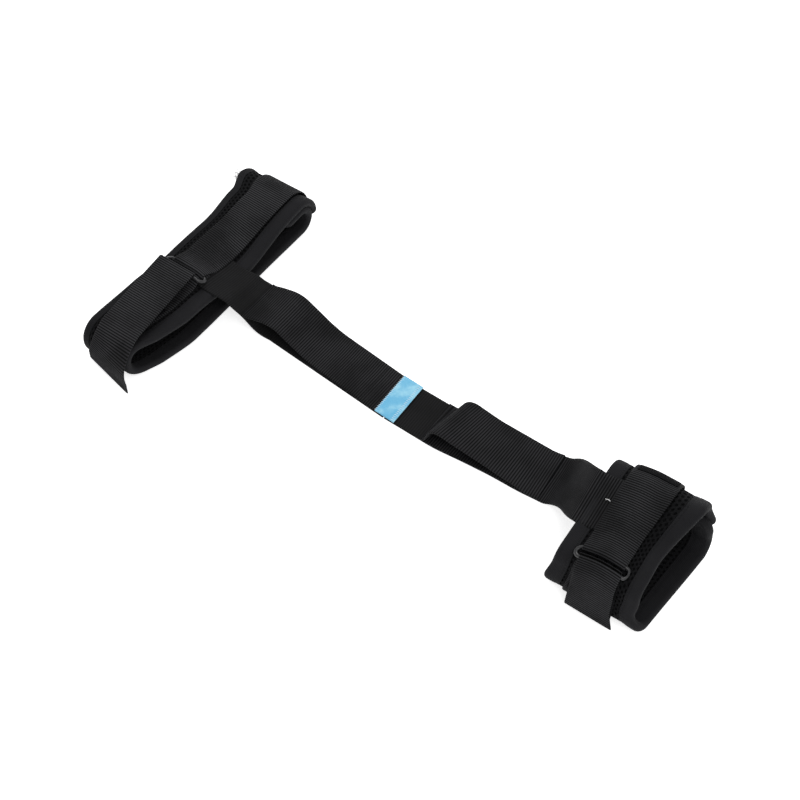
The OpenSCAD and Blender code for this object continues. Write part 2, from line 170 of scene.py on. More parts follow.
def relief(height, depth, strength=1.0):
    """Bumps that are depth metres deep where height goes from 0 to 1."""
    return Wire.node(height.tree, "ShaderNodeBump", Height=height, Distance=depth,
                     Strength=strength)


def new_object(name, points, edges, faces, finish=None):
    """A smooth piece with its place in its mesh; points are metres."""
    mesh = bpy.data.meshes.new(name)
    mesh.from_pydata([tuple(p) for p in points], edges, faces)
    mesh.polygons.foreach_set("use_smooth", [True] * len(mesh.polygons))
    mesh.update()
    piece = bpy.data.objects.new(name, mesh)
    bpy.context.scene.collection.objects.link(piece)
    if finish:
        mesh.materials.append(finish)
    return piece


paper, paper_tree = new_finish("table_paper")
show(paper_tree, Base_Color=(0.9, 0.9, 0.9, 1), Roughness=0.95,
     Normal=relief(speckle(paper_tree, 300), 0.00005),
     Emission_Color=(1, 1, 1, 1), Emission_Strength=0.68)
table_half = 3.0
table = new_object("table_top", [(x * table_half, y * table_half, 0)
                                 for x, y in ((-1, -1), (1, -1), (1, 1), (-1, 1))],
                   [], [(0, 1, 2, 3)], paper)

room = bpy.data.worlds.new("white_room")
room.use_nodes = True
room.node_tree.nodes["Background"].inputs["Color"].default_value = (1, 1, 1, 1)
room.node_tree.nodes["Background"].inputs["Strength"].default_value = 0.6
bpy.context.scene.world = room
bpy.context.scene.view_settings.view_transform = "Standard"

for name, place, size, power in (("lamp_far_side", (-0.5, 1.1, 1.3), 1.0, 13),
                                 ("lamp_over_camera", (0.9, -0.5, 1.5), 0.8, 7)):
    lamp = bpy.data.lights.new(name, "AREA")
    lamp.size = size
    lamp.energy = power
    holder = bpy.data.objects.new(name, lamp)
    holder.location = place
    holder.rotation_euler = (-Vector(place)).to_track_quat("-Z", "Y").to_euler()
    bpy.context.scene.collection.objects.link(holder)

# Everything is placed from the middle of the strap, which the label's own box gives: the strap
# wanders 2 mm to the near side there.
label_low, label_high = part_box("woven_label")
home = np.array([(label_low.x + label_high.x) / 2, (label_low.y + label_high.y) / 2 + 2 * mm, 0])

azimuth, elevation, distance = math.radians(35), math.radians(54.5), 1.205
camera = bpy.data.objects.new("camera", bpy.data.cameras.new("camera"))
camera.data.sensor_width = 36
camera.data.lens = 56.25
back = Vector((math.sin(azimuth) * math.cos(elevation),
               -math.cos(azimuth) * math.cos(elevation), math.sin(elevation)))
camera.location = Vector(home) + back * distance
camera.rotation_euler = back.to_track_quat("Z", "Y").to_euler()
bpy.context.scene.collection.objects.link(camera)
bpy.context.scene.camera = camera


# ---- Thigh cuff: pad core -------------------------------------------------------------------
# A strip of open-cell foam, folded flat into a ring so that its ends lap at the far side. It
# shows only as the dark depth behind the holes of the mesh cloth.

foam = 4
mesh_cloth = 1
binding_tape = 0.8
webbing = 1.6
slack = 0.1
pad_face = foam / 2 + mesh_cloth                  # from the pad's middle to its cloth
rim = pad_face + binding_tape                     # and to its binding
pad_z = webbing + slack + rim                     # height of the pad's middle on the table
lap_gap = 0.3                                     # between the pad's lapped ends


def soft(value, low, high):
    """0 at low, 1 at high and smooth between them; low may be the larger."""
    share = np.clip((value - low) / (high - low), 0, 1)
    return share * share * (3 - 2 * share)


def span(node):
    """Middle and width of a CAD piece along the strap, in millimetres from the label."""
    low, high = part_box(node)
    return ((low.x + high.x) / 2 - home[0]) / mm, (high.x - low.x) / mm


def route(start, heading, legs):
    """Stations [across, up, heading] along legs of [straight run, arc radius, turn to the left]."""
    y, z = start
    stations = [(y, z, heading)]
    for run, radius, turn in legs:
        if run > 0:
            y += run * math.cos(math.radians(heading))
            z += run * math.sin(math.radians(heading))
            stations.append((y, z, heading))
        if turn:
            bend = math.copysign(radius, turn)
            middle_y = y - bend * math.sin(math.radians(heading))
            middle_z = z + bend * math.cos(math.radians(heading))
            steps = max(2, math.ceil(abs(turn) / 4))
            for k in range(1, steps + 1):
                angle = math.radians(heading + turn * k / steps)
                y = middle_y + bend * math.sin(angle)
                z = middle_z - bend * math.cos(angle)
                stations.append((y, z, math.degrees(angle)))
            heading += turn
    return stations


class Ribbon:
    """The surface that a strip follows: rows along it, columns across it, and the way out."""

    def __init__(self, places, sides, width, settle=None, lift=None, corner=0, columns=17):
        places, sides = np.array(places, float), np.array(sides, float)
        steps = np.linalg.norm(np.diff(places, axis=0), axis=1)
        gone = np.concatenate([[0], np.cumsum(steps)])
        self.length, self.width = gone[-1], width
        along = np.linspace(0, self.length, int(self.length / 1.25) + 2)
        middle = np.column_stack([np.interp(along, gone, places[:, k]) for k in range(3)])
        side = np.column_stack([np.interp(along, gone, sides[:, k]) for k in range(3)])
        ahead = np.gradient(middle, axis=0)
        out = np.cross(ahead, side)
        out /= np.linalg.norm(out, axis=1)[:, None]
        u, v = np.meshgrid(along, np.linspace(-width / 2, width / 2, columns), indexing="ij")
        if corner:
            to_end = np.clip(np.minimum(u, self.length - u), 0, corner)
            v = v * (1 - (corner - np.sqrt(corner**2 - (corner - to_end) ** 2)) / (width / 2))
        raised = np.zeros_like(u) if lift is None else lift(u, v)
        spots = middle[:, None] + side[:, None] * v[..., None] + out[:, None] * raised[..., None]
        if settle:
            spots = settle(spots)
        away = np.cross(np.gradient(spots, axis=0), np.gradient(spots, axis=1))
        self.away = away / np.linalg.norm(away, axis=2)[..., None]
        self.spots = spots * mm + home

    def mix(self, grid, u, v):
        rows, columns = grid.shape[:2]
        i = np.asarray(u, float) / self.length * (rows - 1)
        j = (np.asarray(v, float) / self.width + 0.5) * (columns - 1)
        i0 = np.clip(np.floor(i).astype(int), 0, rows - 2)
        j0 = np.clip(np.floor(j).astype(int), 0, columns - 2)
        a, b = (i - i0)[..., None], (j - j0)[..., None]
        near = grid[i0, j0] * (1 - a) + grid[i0 + 1, j0] * a
        far = grid[i0, j0 + 1] * (1 - a) + grid[i0 + 1, j0 + 1] * a
        return near * (1 - b) + far * b

    def out(self, u, v):
        away = self.mix(self.away, u, v)
        return away / np.linalg.norm(away, axis=-1)[..., None]

    def at(self, u, v, h=0.0):
        """Places in metres, at u along, v across and h out in millimetres."""
        u, v, h = np.broadcast_arrays(u, v, h)
        return self.mix(self.spots, u, v) + self.out(u, v) * h[..., None] * mm

    def guide(self):
        """The surface as a mesh, for a tree to lay its piece on."""
        rows, columns = self.spots.shape[:2]
        index = np.arange(rows * columns).reshape(rows, columns)
        corners = [index[:-1, :-1], index[1:, :-1], index[1:, 1:], index[:-1, 1:]]
        faces = np.stack([c.ravel() for c in corners], axis=1)
        bed = new_object("guide", self.spots.reshape(-1, 3), [], faces.tolist())
        away = bed.data.attributes.new("away", "FLOAT_VECTOR", "POINT")
        away.data.foreach_set("vector", self.away.ravel())
        flat = bed.data.uv_layers.new(name="flat")
        shares = np.stack([faces // columns / (rows - 1), faces % columns / (columns - 1)], 2)
        flat.data.foreach_set("uv", shares.ravel())
        return bed


def round_cuff(stations, x, facing_in=False):
    """Places and side vectors of a strip round a cuff; x is a number or follows [y, z]."""
    y, z, heading = np.array(stations).T
    places = np.column_stack([x(y, z) if callable(x) else np.full(len(y), x), y, z])
    return places, np.tile([1.0 if facing_in else -1.0, 0, 0], (len(y), 1))


def cuff_ribbon(stations, x, width, settle, lift=None, facing_in=False, corner=0):
    """A strip round a cuff, which settles as the cuff does."""
    return Ribbon(*round_cuff(stations, x, facing_in), width, settle, lift, corner)


def turn_faces_out(piece):
    """Points every face of a closed piece outwards."""
    form = bmesh.new()
    form.from_mesh(piece.data)
    bmesh.ops.recalc_face_normals(form, faces=form.faces)
    form.to_mesh(piece.data)
    form.free()


def skin(name, rings, finish):
    """A closed piece through rings of points, with a cap at each end and a UV map in metres."""
    count, around = rings.shape[:2]
    index = np.arange(count * around).reshape(count, around)
    turned = np.roll(index, -1, axis=1)
    walls = np.stack([index[:-1], turned[:-1], turned[1:], index[1:]], axis=2).reshape(-1, 4)
    faces = walls.tolist() + [index[0, ::-1].tolist(), index[-1].tolist()]
    piece = new_object(name, rings.reshape(-1, 3), [], faces, finish)
    turn_faces_out(piece)
    run = np.concatenate([[0], np.cumsum(np.linalg.norm(np.diff(rings[:, 0], axis=0), axis=1))])
    girth = np.concatenate([[0], np.cumsum(np.linalg.norm(np.diff(rings[0], axis=0), axis=1))])
    flat = piece.data.uv_layers.new(name="UVMap")
    for loop in piece.data.loops:
        row, column = divmod(loop.vertex_index, around)
        flat.data[loop.index].uv = (run[row], girth[column])
    return piece


def core_rings(ribbon, half, top):
    """Rings of a strip with round edges, half wide and top thick on each side of the middle."""
    turn = np.linspace(0, 2 * np.pi, 40, endpoint=False)
    across = np.sign(np.cos(turn)) * np.abs(np.cos(turn)) ** 0.35 * half
    out = np.sign(np.sin(turn)) * np.abs(np.sin(turn)) ** 0.6 * top
    along = np.linspace(1, ribbon.length - 1, int(ribbon.length / 2.5))
    return ribbon.at(along[:, None], across[None], out[None])


def belongs(piece, body, node=None):
    """Says which body carries a piece, and hides the CAD piece that it stands for."""
    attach(piece, body)
    if node:
        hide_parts(node)


foam_black, foam_tree = new_finish("charcoal_foam")
cells = speckle(foam_tree, 1400, 2.0)
show(foam_tree, Base_Color=tint(cells, (0.002, 0.002, 0.002), (0.006, 0.006, 0.0065)),
     Roughness=1.0, Specular_IOR_Level=0.05, Normal=relief(cells, 0.0006))


def pad_core(whose, ribbon, width):
    """The foam of one cuff's pad, short of its edges by the thickness of the binding."""
    rings = core_rings(ribbon, width / 2 - 1.5, pad_face - 0.6)
    core = skin(whose + "_pad_core", rings, foam_black)
    belongs(core, whose + "_cuff", whose + "_pad_foam")


thigh_x, thigh_pad_w = span("thigh_edge_binding")
thigh_web_x, cuff_web_w = span("thigh_cuff_webbing")
thigh_flat = 231
thigh_in_r = 13.5
thigh_out_r = thigh_in_r + 2 * rim + lap_gap
thigh_far_y = 118
thigh_near_y = thigh_far_y - thigh_flat
thigh_far_z = pad_z + thigh_in_r
thigh_top_z = thigh_far_z + thigh_out_r
thigh_near_r = (thigh_top_z - pad_z) / 2
thigh_near_z = pad_z + thigh_near_r
thigh_lap = 24
thigh_last_turn = 110
thigh_pad_route = route(
    (thigh_far_y - thigh_lap, thigh_far_z + thigh_in_r), 0,
    [(thigh_lap, thigh_in_r, -180), (thigh_flat, thigh_near_r, -180),
     (thigh_flat, thigh_out_r, -thigh_last_turn)])


def settle_thigh(spots):
    """How the loose cuff lies: its rims lean, its ends narrow, and the strap drags its top down."""
    x, y, z = spots[..., 0], spots[..., 1], spots[..., 2]
    strap_side = soft(x, thigh_x - 8, thigh_x + 41)
    other_side = soft(x, thigh_x + 8, thigh_x - 41)
    upper = soft(z, 13, 34)
    near_end = soft(y, -95, -132)
    reach = np.where(y < 22, 48 - 22 * soft(x, -212, -238), 48)
    dragged = np.exp(-((y - 22) / reach) ** 2) * upper * soft(x, -165, -205) * soft(x, -262, -206)
    curled = 5 * soft(y, -60, -10) * soft(y, 95, 45) * soft(z, 20, 40)
    lean_x = strap_side * (-2 - 9 * soft(y, -55, -115) - 9 * near_end) + other_side * (
        4 - 9 * soft(y, 96, 122) + curled)
    wave = np.sin(y / 19 + 1.3) * 0.8 * upper + np.sin(y / 31 + x / 40) * 0.9 * upper
    fade = soft(x, -175, -200)
    return np.stack([x + lean_x * fade, y, z - 17 * dragged + wave * fade], axis=-1)


pad_corner = 9
thigh_pad = cuff_ribbon(thigh_pad_route, thigh_x, thigh_pad_w, settle_thigh, corner=pad_corner)
pad_core("thigh", thigh_pad, thigh_pad_w)


# ---- Thigh cuff: mesh cloth and lining ------------------------------------------------------
# Spacer mesh with rows of open holes, one sheet on each face of the foam, caught under the
# binding all round. It is knitted, so its holes stand in staggered rows.

hole_pitch = 5.0
hole_depth = 1.15
puff = 0.8                                        # how far the cloth swells over the foam
cloth_margin = 7                                  # how far the binding hides it
row_share = math.sqrt(3) / 2                      # rows of holes stand this many pitches apart


def new_tree(name, **inputs):
    """A Geometry Nodes tree with these inputs, and a wire from each of them and from its bed."""
    tree = bpy.data.node_groups.new(name, "GeometryNodeTree")
    tree.interface.new_socket("Bed", in_out="INPUT", socket_type="NodeSocketGeometry")
    for label, kind in inputs.items():
        tree.interface.new_socket(label.replace("_", " "), in_out="INPUT",
                                  socket_type="NodeSocket" + kind)
    tree.interface.new_socket("Made", in_out="OUTPUT", socket_type="NodeSocketGeometry")
    entry = tree.nodes.new("NodeGroupInput")
    bed, *others = [Wire(s) for s in entry.outputs if s.name]
    return tree, [*others, bed]


def end_tree(shapes, finish, smooth=True):
    """Realize Instances and Set Material, then out."""
    tree = shapes.tree
    if smooth:
        shapes = Wire.node(tree, "GeometryNodeSetShadeSmooth", Geometry=shapes)
    real = Wire.node(tree, "GeometryNodeRealizeInstances", Geometry=shapes)
    painted = Wire.node(tree, "GeometryNodeSetMaterial", Geometry=real, Material=finish)
    tree.links.new(painted.socket, tree.nodes.new("NodeGroupOutput").inputs[0])


def vector_of(tree, **axes):
    return Wire.node(tree, "ShaderNodeCombineXYZ", **axes)


def point_axes(tree):
    """Wires of x, y and z of each point."""
    return Wire.node(tree, "GeometryNodeInputPosition").split()


def kept_vector(tree, name):
    """A vector that the mesh keeps under this name."""
    return Wire.node(tree, "GeometryNodeInputNamedAttribute", {"data_type": "FLOAT_VECTOR"},
                     Name=name)


def lay_on(shapes, guide, along, across, height, flat_u, flat_v):
    """Moves points onto a guide, at shares along and across it, and keeps a flat UV map."""
    tree = shapes.tree
    flat = vector_of(tree, X=flat_u, Y=flat_v)
    mapped = Wire.node(tree, "GeometryNodeStoreNamedAttribute",
                       {"data_type": "FLOAT2", "domain": "CORNER"}, Geometry=shapes,
                       Name="UVMap", Value=flat)
    hem = 0.0001                                  # keeps every share inside the flat map
    share = vector_of(tree, X=along * (1 - 2 * hem) + hem, Y=across * (1 - 2 * hem) + hem)
    bed = Wire.node(tree, "GeometryNodeObjectInfo", out="Geometry", Object=guide)

    def sampled(value):
        return Wire.node(tree, "GeometryNodeSampleUVSurface", {"data_type": "FLOAT_VECTOR"},
                         "Value", Mesh=bed, Value=value, UV_Map=kept_vector(tree, "flat"),
                         Sample_UV=share)

    spot = sampled(Wire.node(tree, "GeometryNodeInputPosition"))
    away = sampled(kept_vector(tree, "away"))
    raised = spot.vector("ADD", Vector_2=away.vector("SCALE", Scale=height))
    return Wire.node(tree, "GeometryNodeSetPosition", Geometry=mapped, Position=raised)


def grow(name, tree, bed=None, **values):
    """Runs a tree once and keeps what it makes as a plain mesh piece."""
    bed = bed or new_object("bed", [(0, 0, 0)], [], [])
    modifier = bed.modifiers.new("tree", "NODES")
    modifier.node_group = tree
    for item in tree.interface.items_tree:
        label = item.name.replace(" ", "_")
        if item.in_out == "INPUT" and label in values:
            modifier[item.identifier] = values[label]
    bpy.context.view_layer.update()
    graph = bpy.context.evaluated_depsgraph_get()
    mesh = bpy.data.meshes.new_from_object(bed.evaluated_get(graph))
    mesh.name = name
    piece = bpy.data.objects.new(name, mesh)
    bpy.context.scene.collection.objects.link(piece)
    for used in [bed, *(v for v in values.values() if isinstance(v, bpy.types.Object))]:
        bpy.data.objects.remove(used)
    return piece


net_tree, (net_guide, net_length, net_width, net_pitch, net_depth, net_columns, net_rows,
           net_finish, _) = new_tree(
    "perforated_cloth", Guide="Object", Length="Float", Width="Float", Pitch="Float",
    Depth="Float", Columns="Int", Rows="Int", Finish="Material")
row_step = net_pitch * row_share
net_grid = Wire.node(net_tree, "GeometryNodeMeshGrid", out="Mesh",
                     Size_X=(net_columns - 1) * net_pitch, Size_Y=(net_rows - 1) * row_step,
                     Vertices_X=net_columns, Vertices_Y=net_rows)
_, grid_y, _ = point_axes(net_tree)
odd_row = (grid_y / row_step + 100.25).maths("FLOOR").maths("MODULO", 2)
stagger = vector_of(net_tree, X=(odd_row - 0.5) * net_pitch * 0.5)
net_spots = Wire.node(net_tree, "GeometryNodeSetPosition", Geometry=net_grid, Offset=stagger)
tile = Wire.node(net_tree, "GeometryNodeMeshCircle", {"fill_type": "NGON"}, Vertices=6,
                 Radius=net_pitch / math.sqrt(3))
tile = Wire.node(net_tree, "GeometryNodeTransform", Geometry=tile, Rotation=(0, 0, math.pi / 6))
top = None
# Each step of a hole's wall goes down by a share of the depth and narrows the hole.
for sink, narrow in ((-0.12, 0.66), (0.28, 0.84), (1.0, 0.9)):
    down = vector_of(net_tree, Z=net_depth * -sink)
    picked = {"Selection": top} if top else {}
    tile, top = Wire.node(net_tree, "GeometryNodeExtrudeMesh", {"mode": "FACES"},
                          ("Mesh", "Top"), Mesh=tile, Offset=down, **picked)
    tile = Wire.node(net_tree, "GeometryNodeScaleElements", Geometry=tile, Selection=top,
                     Scale=narrow)
tile = Wire.node(net_tree, "GeometryNodeDeleteGeometry", {"domain": "FACE"}, Geometry=tile,
                 Selection=top)
net = Wire.node(net_tree, "GeometryNodeInstanceOnPoints", Points=net_spots, Instance=tile)
net = Wire.node(net_tree, "GeometryNodeRealizeInstances", Geometry=net)
net = Wire.node(net_tree, "GeometryNodeMergeByDistance", Geometry=net, Distance=0.00008)
net_x, net_y, net_z = point_axes(net_tree)
net = lay_on(net, net_guide, net_x / net_length + 0.5, net_y / net_width + 0.5, net_z,
             net_x + net_length * 0.5, net_y)
end_tree(net, net_finish)


def with_lint(colour, lint, pale):
    """The colour with specks of pale lint on it."""
    return tint(lint, (0, 0, 0), (pale, pale, pale)).vector("ADD", Vector_2=colour)


def mesh_finish(name, dark, light):
    """Knitted mesh: fine loops on the bars between the holes, and a little pale lint."""
    material, tree = new_finish(name)
    loops = speckle(tree, 2600, 1.0)
    lint = speckle(tree, 420, 4.0).between(0.68, 0.86)
    shade = tint(loops.between(0.35, 0.7), dark, light)
    show(tree, Base_Color=with_lint(shade, lint * 0.5, 0.02), Roughness=0.85,
         Specular_IOR_Level=0.07, Sheen_Weight=0.01, Normal=relief(loops, 0.0004))
    return material


outer_black = mesh_finish("outer_mesh_cloth", (0.003, 0.003, 0.0035), (0.011, 0.011, 0.012))
lining_black = mesh_finish("lining_mesh_cloth", (0.003, 0.003, 0.0034), (0.0105, 0.0105, 0.0115))


def pad_cloths(whose, stations, x, width, settle):
    """Lays a sheet of mesh cloth on each face of a pad, up to the margin that the binding hides."""
    def swell(u, v):
        full = np.clip(1 - (v / (width / 2 - 10)) ** 2, 0, 1)
        return pad_face + puff * full * (1 + 0.25 * np.sin(u / 13 + v / 9))

    for cloth, facing_in, finish, node, slot in (
            ("_outer_cloth", False, outer_black, "_pad_outer_mesh", "outer_mesh"),
            ("_lining_cloth", True, lining_black, "_pad_lining", "lining_mesh")):
        face = cuff_ribbon(stations, x, width, settle, swell, facing_in, pad_corner)
        sheet = grow(whose + cloth, net_tree, Guide=face.guide(), Length=face.length * mm,
                     Width=width * mm, Pitch=hole_pitch * mm, Depth=hole_depth * mm,
                     Columns=int((face.length - 2 * cloth_margin) / hole_pitch),
                     Rows=int((width - 2 * cloth_margin) / (hole_pitch * row_share)) + 1,
                     Finish=finish)
        belongs(sheet, whose + "_cuff", whose + node)


pad_cloths("thigh", thigh_pad_route, thigh_x, thigh_pad_w, settle_thigh)


# ---- Thigh cuff: edge binding ---------------------------------------------------------------
# Smooth knitted tape folded over all four edges and sewn through the pad with one row of
# stitches near its inner edge, where it is pulled down a little.

bind_w = 16
end_bind = 12
stitch_in = 2.5                                   # stitch row, in from the tape's inner edge


def folded_tape(deep, proud):
    """Outline of folded tape: distance in from the pad's edge, and height over its middle."""
    inward = np.linspace(deep, rim, 12)
    dip = 0.55 * np.exp(-((deep - stitch_in - inward) / 1.3) ** 2)
    curl = 0.5 * soft(deep - inward, 1.6, 0)
    face = pad_face + 0.95 + proud - dip - curl + 0.35 * soft(inward, deep, rim + 2)
    turn = np.linspace(80, -80, 9)
    nose_in = rim * (1 - np.cos(np.radians(turn)))
    nose = (rim + 0.45 + proud) * np.sin(np.radians(turn))
    outer = np.column_stack([np.r_[inward, nose_in, inward[::-1]],
                             np.r_[face, nose, -face[::-1]]])
    inner = np.array([(deep, 1 - pad_face), (rim + 1, 1 - pad_face), (binding_tape + 1.5, 0),
                      (rim + 1, pad_face - 1), (deep, pad_face - 1)])
    return np.vstack([outer, inner])


def flat_axes(tree):
    """Wires of the places along and across a piece, in metres."""
    return Wire.node(tree, "ShaderNodeUVMap", {"uv_map": "UVMap"}).split()[:2]


def ridges(run, pitch):
    """Rounded ridges from 0 to 1, one for each pitch of the run."""
    return abs((run * (math.pi / pitch)).maths("SINE"))


# Very fine ribs run along the tape, and slight puckers across it.
binding_black, bind_tree = new_finish("binding_tape")
bind_u, bind_v = flat_axes(bind_tree)
bind_ribs = ridges(bind_v, 0.0011)
bind_loops = ridges(bind_u, 0.0008)
bind_cloud = speckle(bind_tree, 60, 3.0)
bind_shade = (bind_ribs * 0.5 + bind_loops * 0.2 + speckle(bind_tree, 1500) * 0.3) * (
    bind_cloud * 0.6 + 0.7)
show(bind_tree, Base_Color=tint(bind_shade, (0.0045, 0.0045, 0.005), (0.019, 0.019, 0.021)),
     Roughness=0.78, Specular_IOR_Level=0.08, Sheen_Weight=0.01, Sheen_Roughness=0.4,
     Normal=relief(bind_ribs * 0.6 + bind_loops * 0.4, 0.00012))


def join(pieces):
    """Makes the pieces one, under the first one's name."""
    with bpy.context.temp_override(active_object=pieces[0], selected_editable_objects=pieces):
        bpy.ops.object.join()
    return pieces[0]


def bind(whose, ribbon, width, depths):
    """Binds the two long edges and the two ends of a pad, as one piece."""
    half = width / 2
    parts = []
    along = np.linspace(0.4, ribbon.length - 0.4, int(ribbon.length / 2))
    for edge, deep in zip((-1, 1), depths):
        outline = folded_tape(deep, 0)
        ripple = 0.22 * np.sin(along / 4.1 + edge) + 0.2 * np.sin(along / 9.7 + 2 * edge)
        across = edge * (half - outline[:, 0] + 0.3 * np.sin(along / 23 + edge)[:, None])
        raised = outline[:, 1] * (1 + 0.05 * ripple[:, None])
        parts.append(ribbon.at(along[:, None], across, raised))
    outline = folded_tape(end_bind, 0.45)
    across = np.linspace(-half + 4, half - 4, int(half))
    for far in (False, True):
        edge_u = outline[:, 0] - 0.5
        u = ribbon.length - edge_u if far else edge_u
        parts.append(ribbon.at(u[None], across[:, None], outline[None, :, 1]))
    folded = join([skin(whose + "_binding_tape", rings, binding_black) for rings in parts])
    belongs(folded, whose + "_cuff", whose + "_edge_binding")
    length = 2 * (ribbon.length + 2 * half) * mm


# On the thigh cuff's free side only a narrow part of the tape shows; the rest is curled under.
thigh_binds = (bind_w, 9)
bind("thigh", thigh_pad, thigh_pad_w, thigh_binds)

# The stitches of the binding, and of every other seam, are short floats of bonded thread that
# dive into the cloth at both ends.
thread_tree, (thread_pitch, thread_long, thread_r, thread_finish, thread_bed) = new_tree(
    "thread_stitches", Pitch="Float", Long="Float", Radius="Float", Finish="Material")
seam = Wire.node(thread_tree, "GeometryNodeMeshToCurve", Mesh=thread_bed)
seam, seam_way = Wire.node(thread_tree, "GeometryNodeCurveToPoints", {"mode": "LENGTH"},
                           ("Points", "Tangent"), Curve=seam, Length=thread_pitch)
float_bar = Wire.node(thread_tree, "GeometryNodeMeshCylinder", {"fill_type": "NGON"}, "Mesh",
                      Vertices=6, Side_Segments=4, Radius=thread_r, Depth=thread_long)
float_bar = Wire.node(thread_tree, "GeometryNodeTransform", Geometry=float_bar,
                      Rotation=(0, math.pi / 2, 0))
bar_x, _, _ = point_axes(thread_tree)
bow = (bar_x * 2 / thread_long) ** 2 * thread_r * -1.6
arched = vector_of(thread_tree, Z=bow)
float_bar = Wire.node(thread_tree, "GeometryNodeSetPosition", Geometry=float_bar, Offset=arched)
facing = Wire.node(thread_tree, "FunctionNodeAlignRotationToVector", {"axis": "X"},
                   Vector=seam_way)
facing = Wire.node(thread_tree, "FunctionNodeAlignRotationToVector",
                   {"axis": "Z", "pivot_axis": "X"}, Rotation=facing,
                   Vector=kept_vector(thread_tree, "away"))
seam = Wire.node(thread_tree, "GeometryNodeInstanceOnPoints", Points=seam, Instance=float_bar,
                 Rotation=facing)
end_tree(seam, thread_finish)


def thread_finish_of(name, dark, light):
    """Twisted bonded thread."""
    material, tree = new_finish(name)
    twist = speckle(tree, 3500, 1.0)
    show(tree, Base_Color=tint(twist, dark, light), Roughness=0.6, Specular_IOR_Level=0.15,
         Normal=relief(twist, 0.0001))
    return material


black_thread = thread_finish_of("black_thread", (0.004, 0.004, 0.0045), (0.016, 0.016, 0.0175))


def row_of(ribbon, start, end, h):
    """A straight seam on a ribbon between two places [along, across], h above it."""
    steps = max(2, int(math.dist(start, end) / 1.5))
    u, v = (np.linspace(a, b, steps) for a, b in zip(start, end))
    return ribbon.at(u, v, h), ribbon.out(u, v)


def sew(name, rows, body, node=None, pitch=3.0, long=2.3, radius=0.22, finish=black_thread):
    """Thread stitches along rows of places, as one piece."""
    points = np.vstack([r[0] for r in rows])
    counts = np.cumsum([0] + [len(r[0]) for r in rows])
    edges = [(i, i + 1) for a, b in zip(counts, counts[1:]) for i in range(a, b - 1)]
    bed = new_object("seam", points, edges, [])
    away = bed.data.attributes.new("away", "FLOAT_VECTOR", "POINT")
    away.data.foreach_set("vector", np.vstack([r[1] for r in rows]).ravel())
    threads = grow(name, thread_tree, bed, Pitch=pitch * mm, Long=long * mm,
                   Radius=radius * mm, Finish=finish)
    belongs(threads, body, node)


def sew_binding(whose, ribbon, width, depths):
    """Sews the binding through the pad: a row beside each edge, seen on both faces."""
    left, right = (width / 2 - deep + stitch_in for deep in depths)
    high = pad_face + 0.75
    rows = []
    for side, h in ((1, high), (-1, -high)):
        for v in (-left, right):
            spots, outs = row_of(ribbon, (3, v), (ribbon.length - 3, v), h)
            rows.append((spots, outs * side))
        for u in (end_bind - stitch_in, ribbon.length - end_bind + stitch_in):
            spots, outs = row_of(ribbon, (u, -left), (u, right), h + 0.3 * side)
            rows.append((spots, outs * side))
    sew(whose + "_binding_stitches", rows, whose + "_cuff")


sew_binding("thigh", thigh_pad, thigh_pad_w, thigh_binds)


# ---- Thigh cuff: webbing --------------------------------------------------------------------
# Black polypropylene webbing, woven with a round rib every 2.5 mm. It starts turned round the
# ring's inner bar, lies over the strap's end, goes once round the pad and comes up to the
# ring's outer bar. Its end is a separate length, because it swings with the ring.

rib_pitch = 2.5
rib_depth = 0.42
on_pad = rim + slack + webbing / 2                # from the pad's middle to webbing on it
over_strap = on_pad + webbing + slack             # and to webbing over the strap's end

web_tree, (web_guide, web_length, web_width, web_thick, web_pitch, web_depth, web_rows,
           web_finish, _) = new_tree(
    "ribbed_webbing", Guide="Object", Length="Float", Width="Float", Thickness="Float",
    Pitch="Float", Depth="Float", Rows="Int", Finish="Material")
web_size = vector_of(web_tree, X=web_length, Y=web_width, Z=web_thick)
web = Wire.node(web_tree, "GeometryNodeMeshCube", out="Mesh", Size=web_size,
                Vertices_X=web_rows, Vertices_Y=17, Vertices_Z=3)
web_x, web_y, web_z = point_axes(web_tree)
web_u = web_x + web_length * 0.5
web_v = web_y / web_width
web_v = (web_v * math.pi).maths("SINE") * 0.3 + web_v * 0.4
selvedge = abs(web_v).between(0.445, 0.475)
crest = abs((web_u * math.pi / web_pitch).maths("SINE")) ** 0.7
groove = (1 - crest) * (1 - selvedge) * web_depth
web_side = web_z * 2 / web_thick
round_edge = 1 - abs(web_v).between(0.47, 0.5) * 0.5
web_high = web_side * (web_thick * 0.5 - groove) * round_edge
web = lay_on(web, web_guide, web_u / web_length, web_v + 0.5, web_high, web_u,
             web_v * web_width)
end_tree(web, web_finish)


def webbing_finish(name, groove_shade, crest_highlight, pitch=rib_pitch):
    """Ribs of parallel yarns: painted highlight along each crest and painted shade between, with a
    dull fibre gloss.
    """
    material, tree = new_finish(name)
    flat_u, flat_v = flat_axes(tree)
    rib = ridges(flat_u, pitch * mm)
    yarn = ridges(flat_v, 0.00085)
    fibre = speckle(tree, 1800, 2.0)
    # Noise patches that make the painted crest highlight stronger or weaker from place to place.
    highlight_patches = speckle(tree, 24, 3.0)
    shade = rib ** 2.2 * (yarn * 0.35 + 0.5 + fibre * 0.3) * (highlight_patches.between(0.3, 0.7) * 0.8 + 0.6)
    lint = speckle(tree, 700, 2.0).between(0.74, 0.82) * 0.35
    colour = tint(shade, (groove_shade,) * 3, (crest_highlight, crest_highlight, crest_highlight * 1.08))
    show(tree, Base_Color=with_lint(colour, lint, 0.03), Roughness=0.7, Specular_IOR_Level=0.07,
         Sheen_Weight=0.01, Sheen_Roughness=0.35,
         Normal=relief(yarn * 0.6 + fibre * 0.4, 0.00022))
    return material


webbing_black = webbing_finish("black_webbing", 0.001, 0.041)


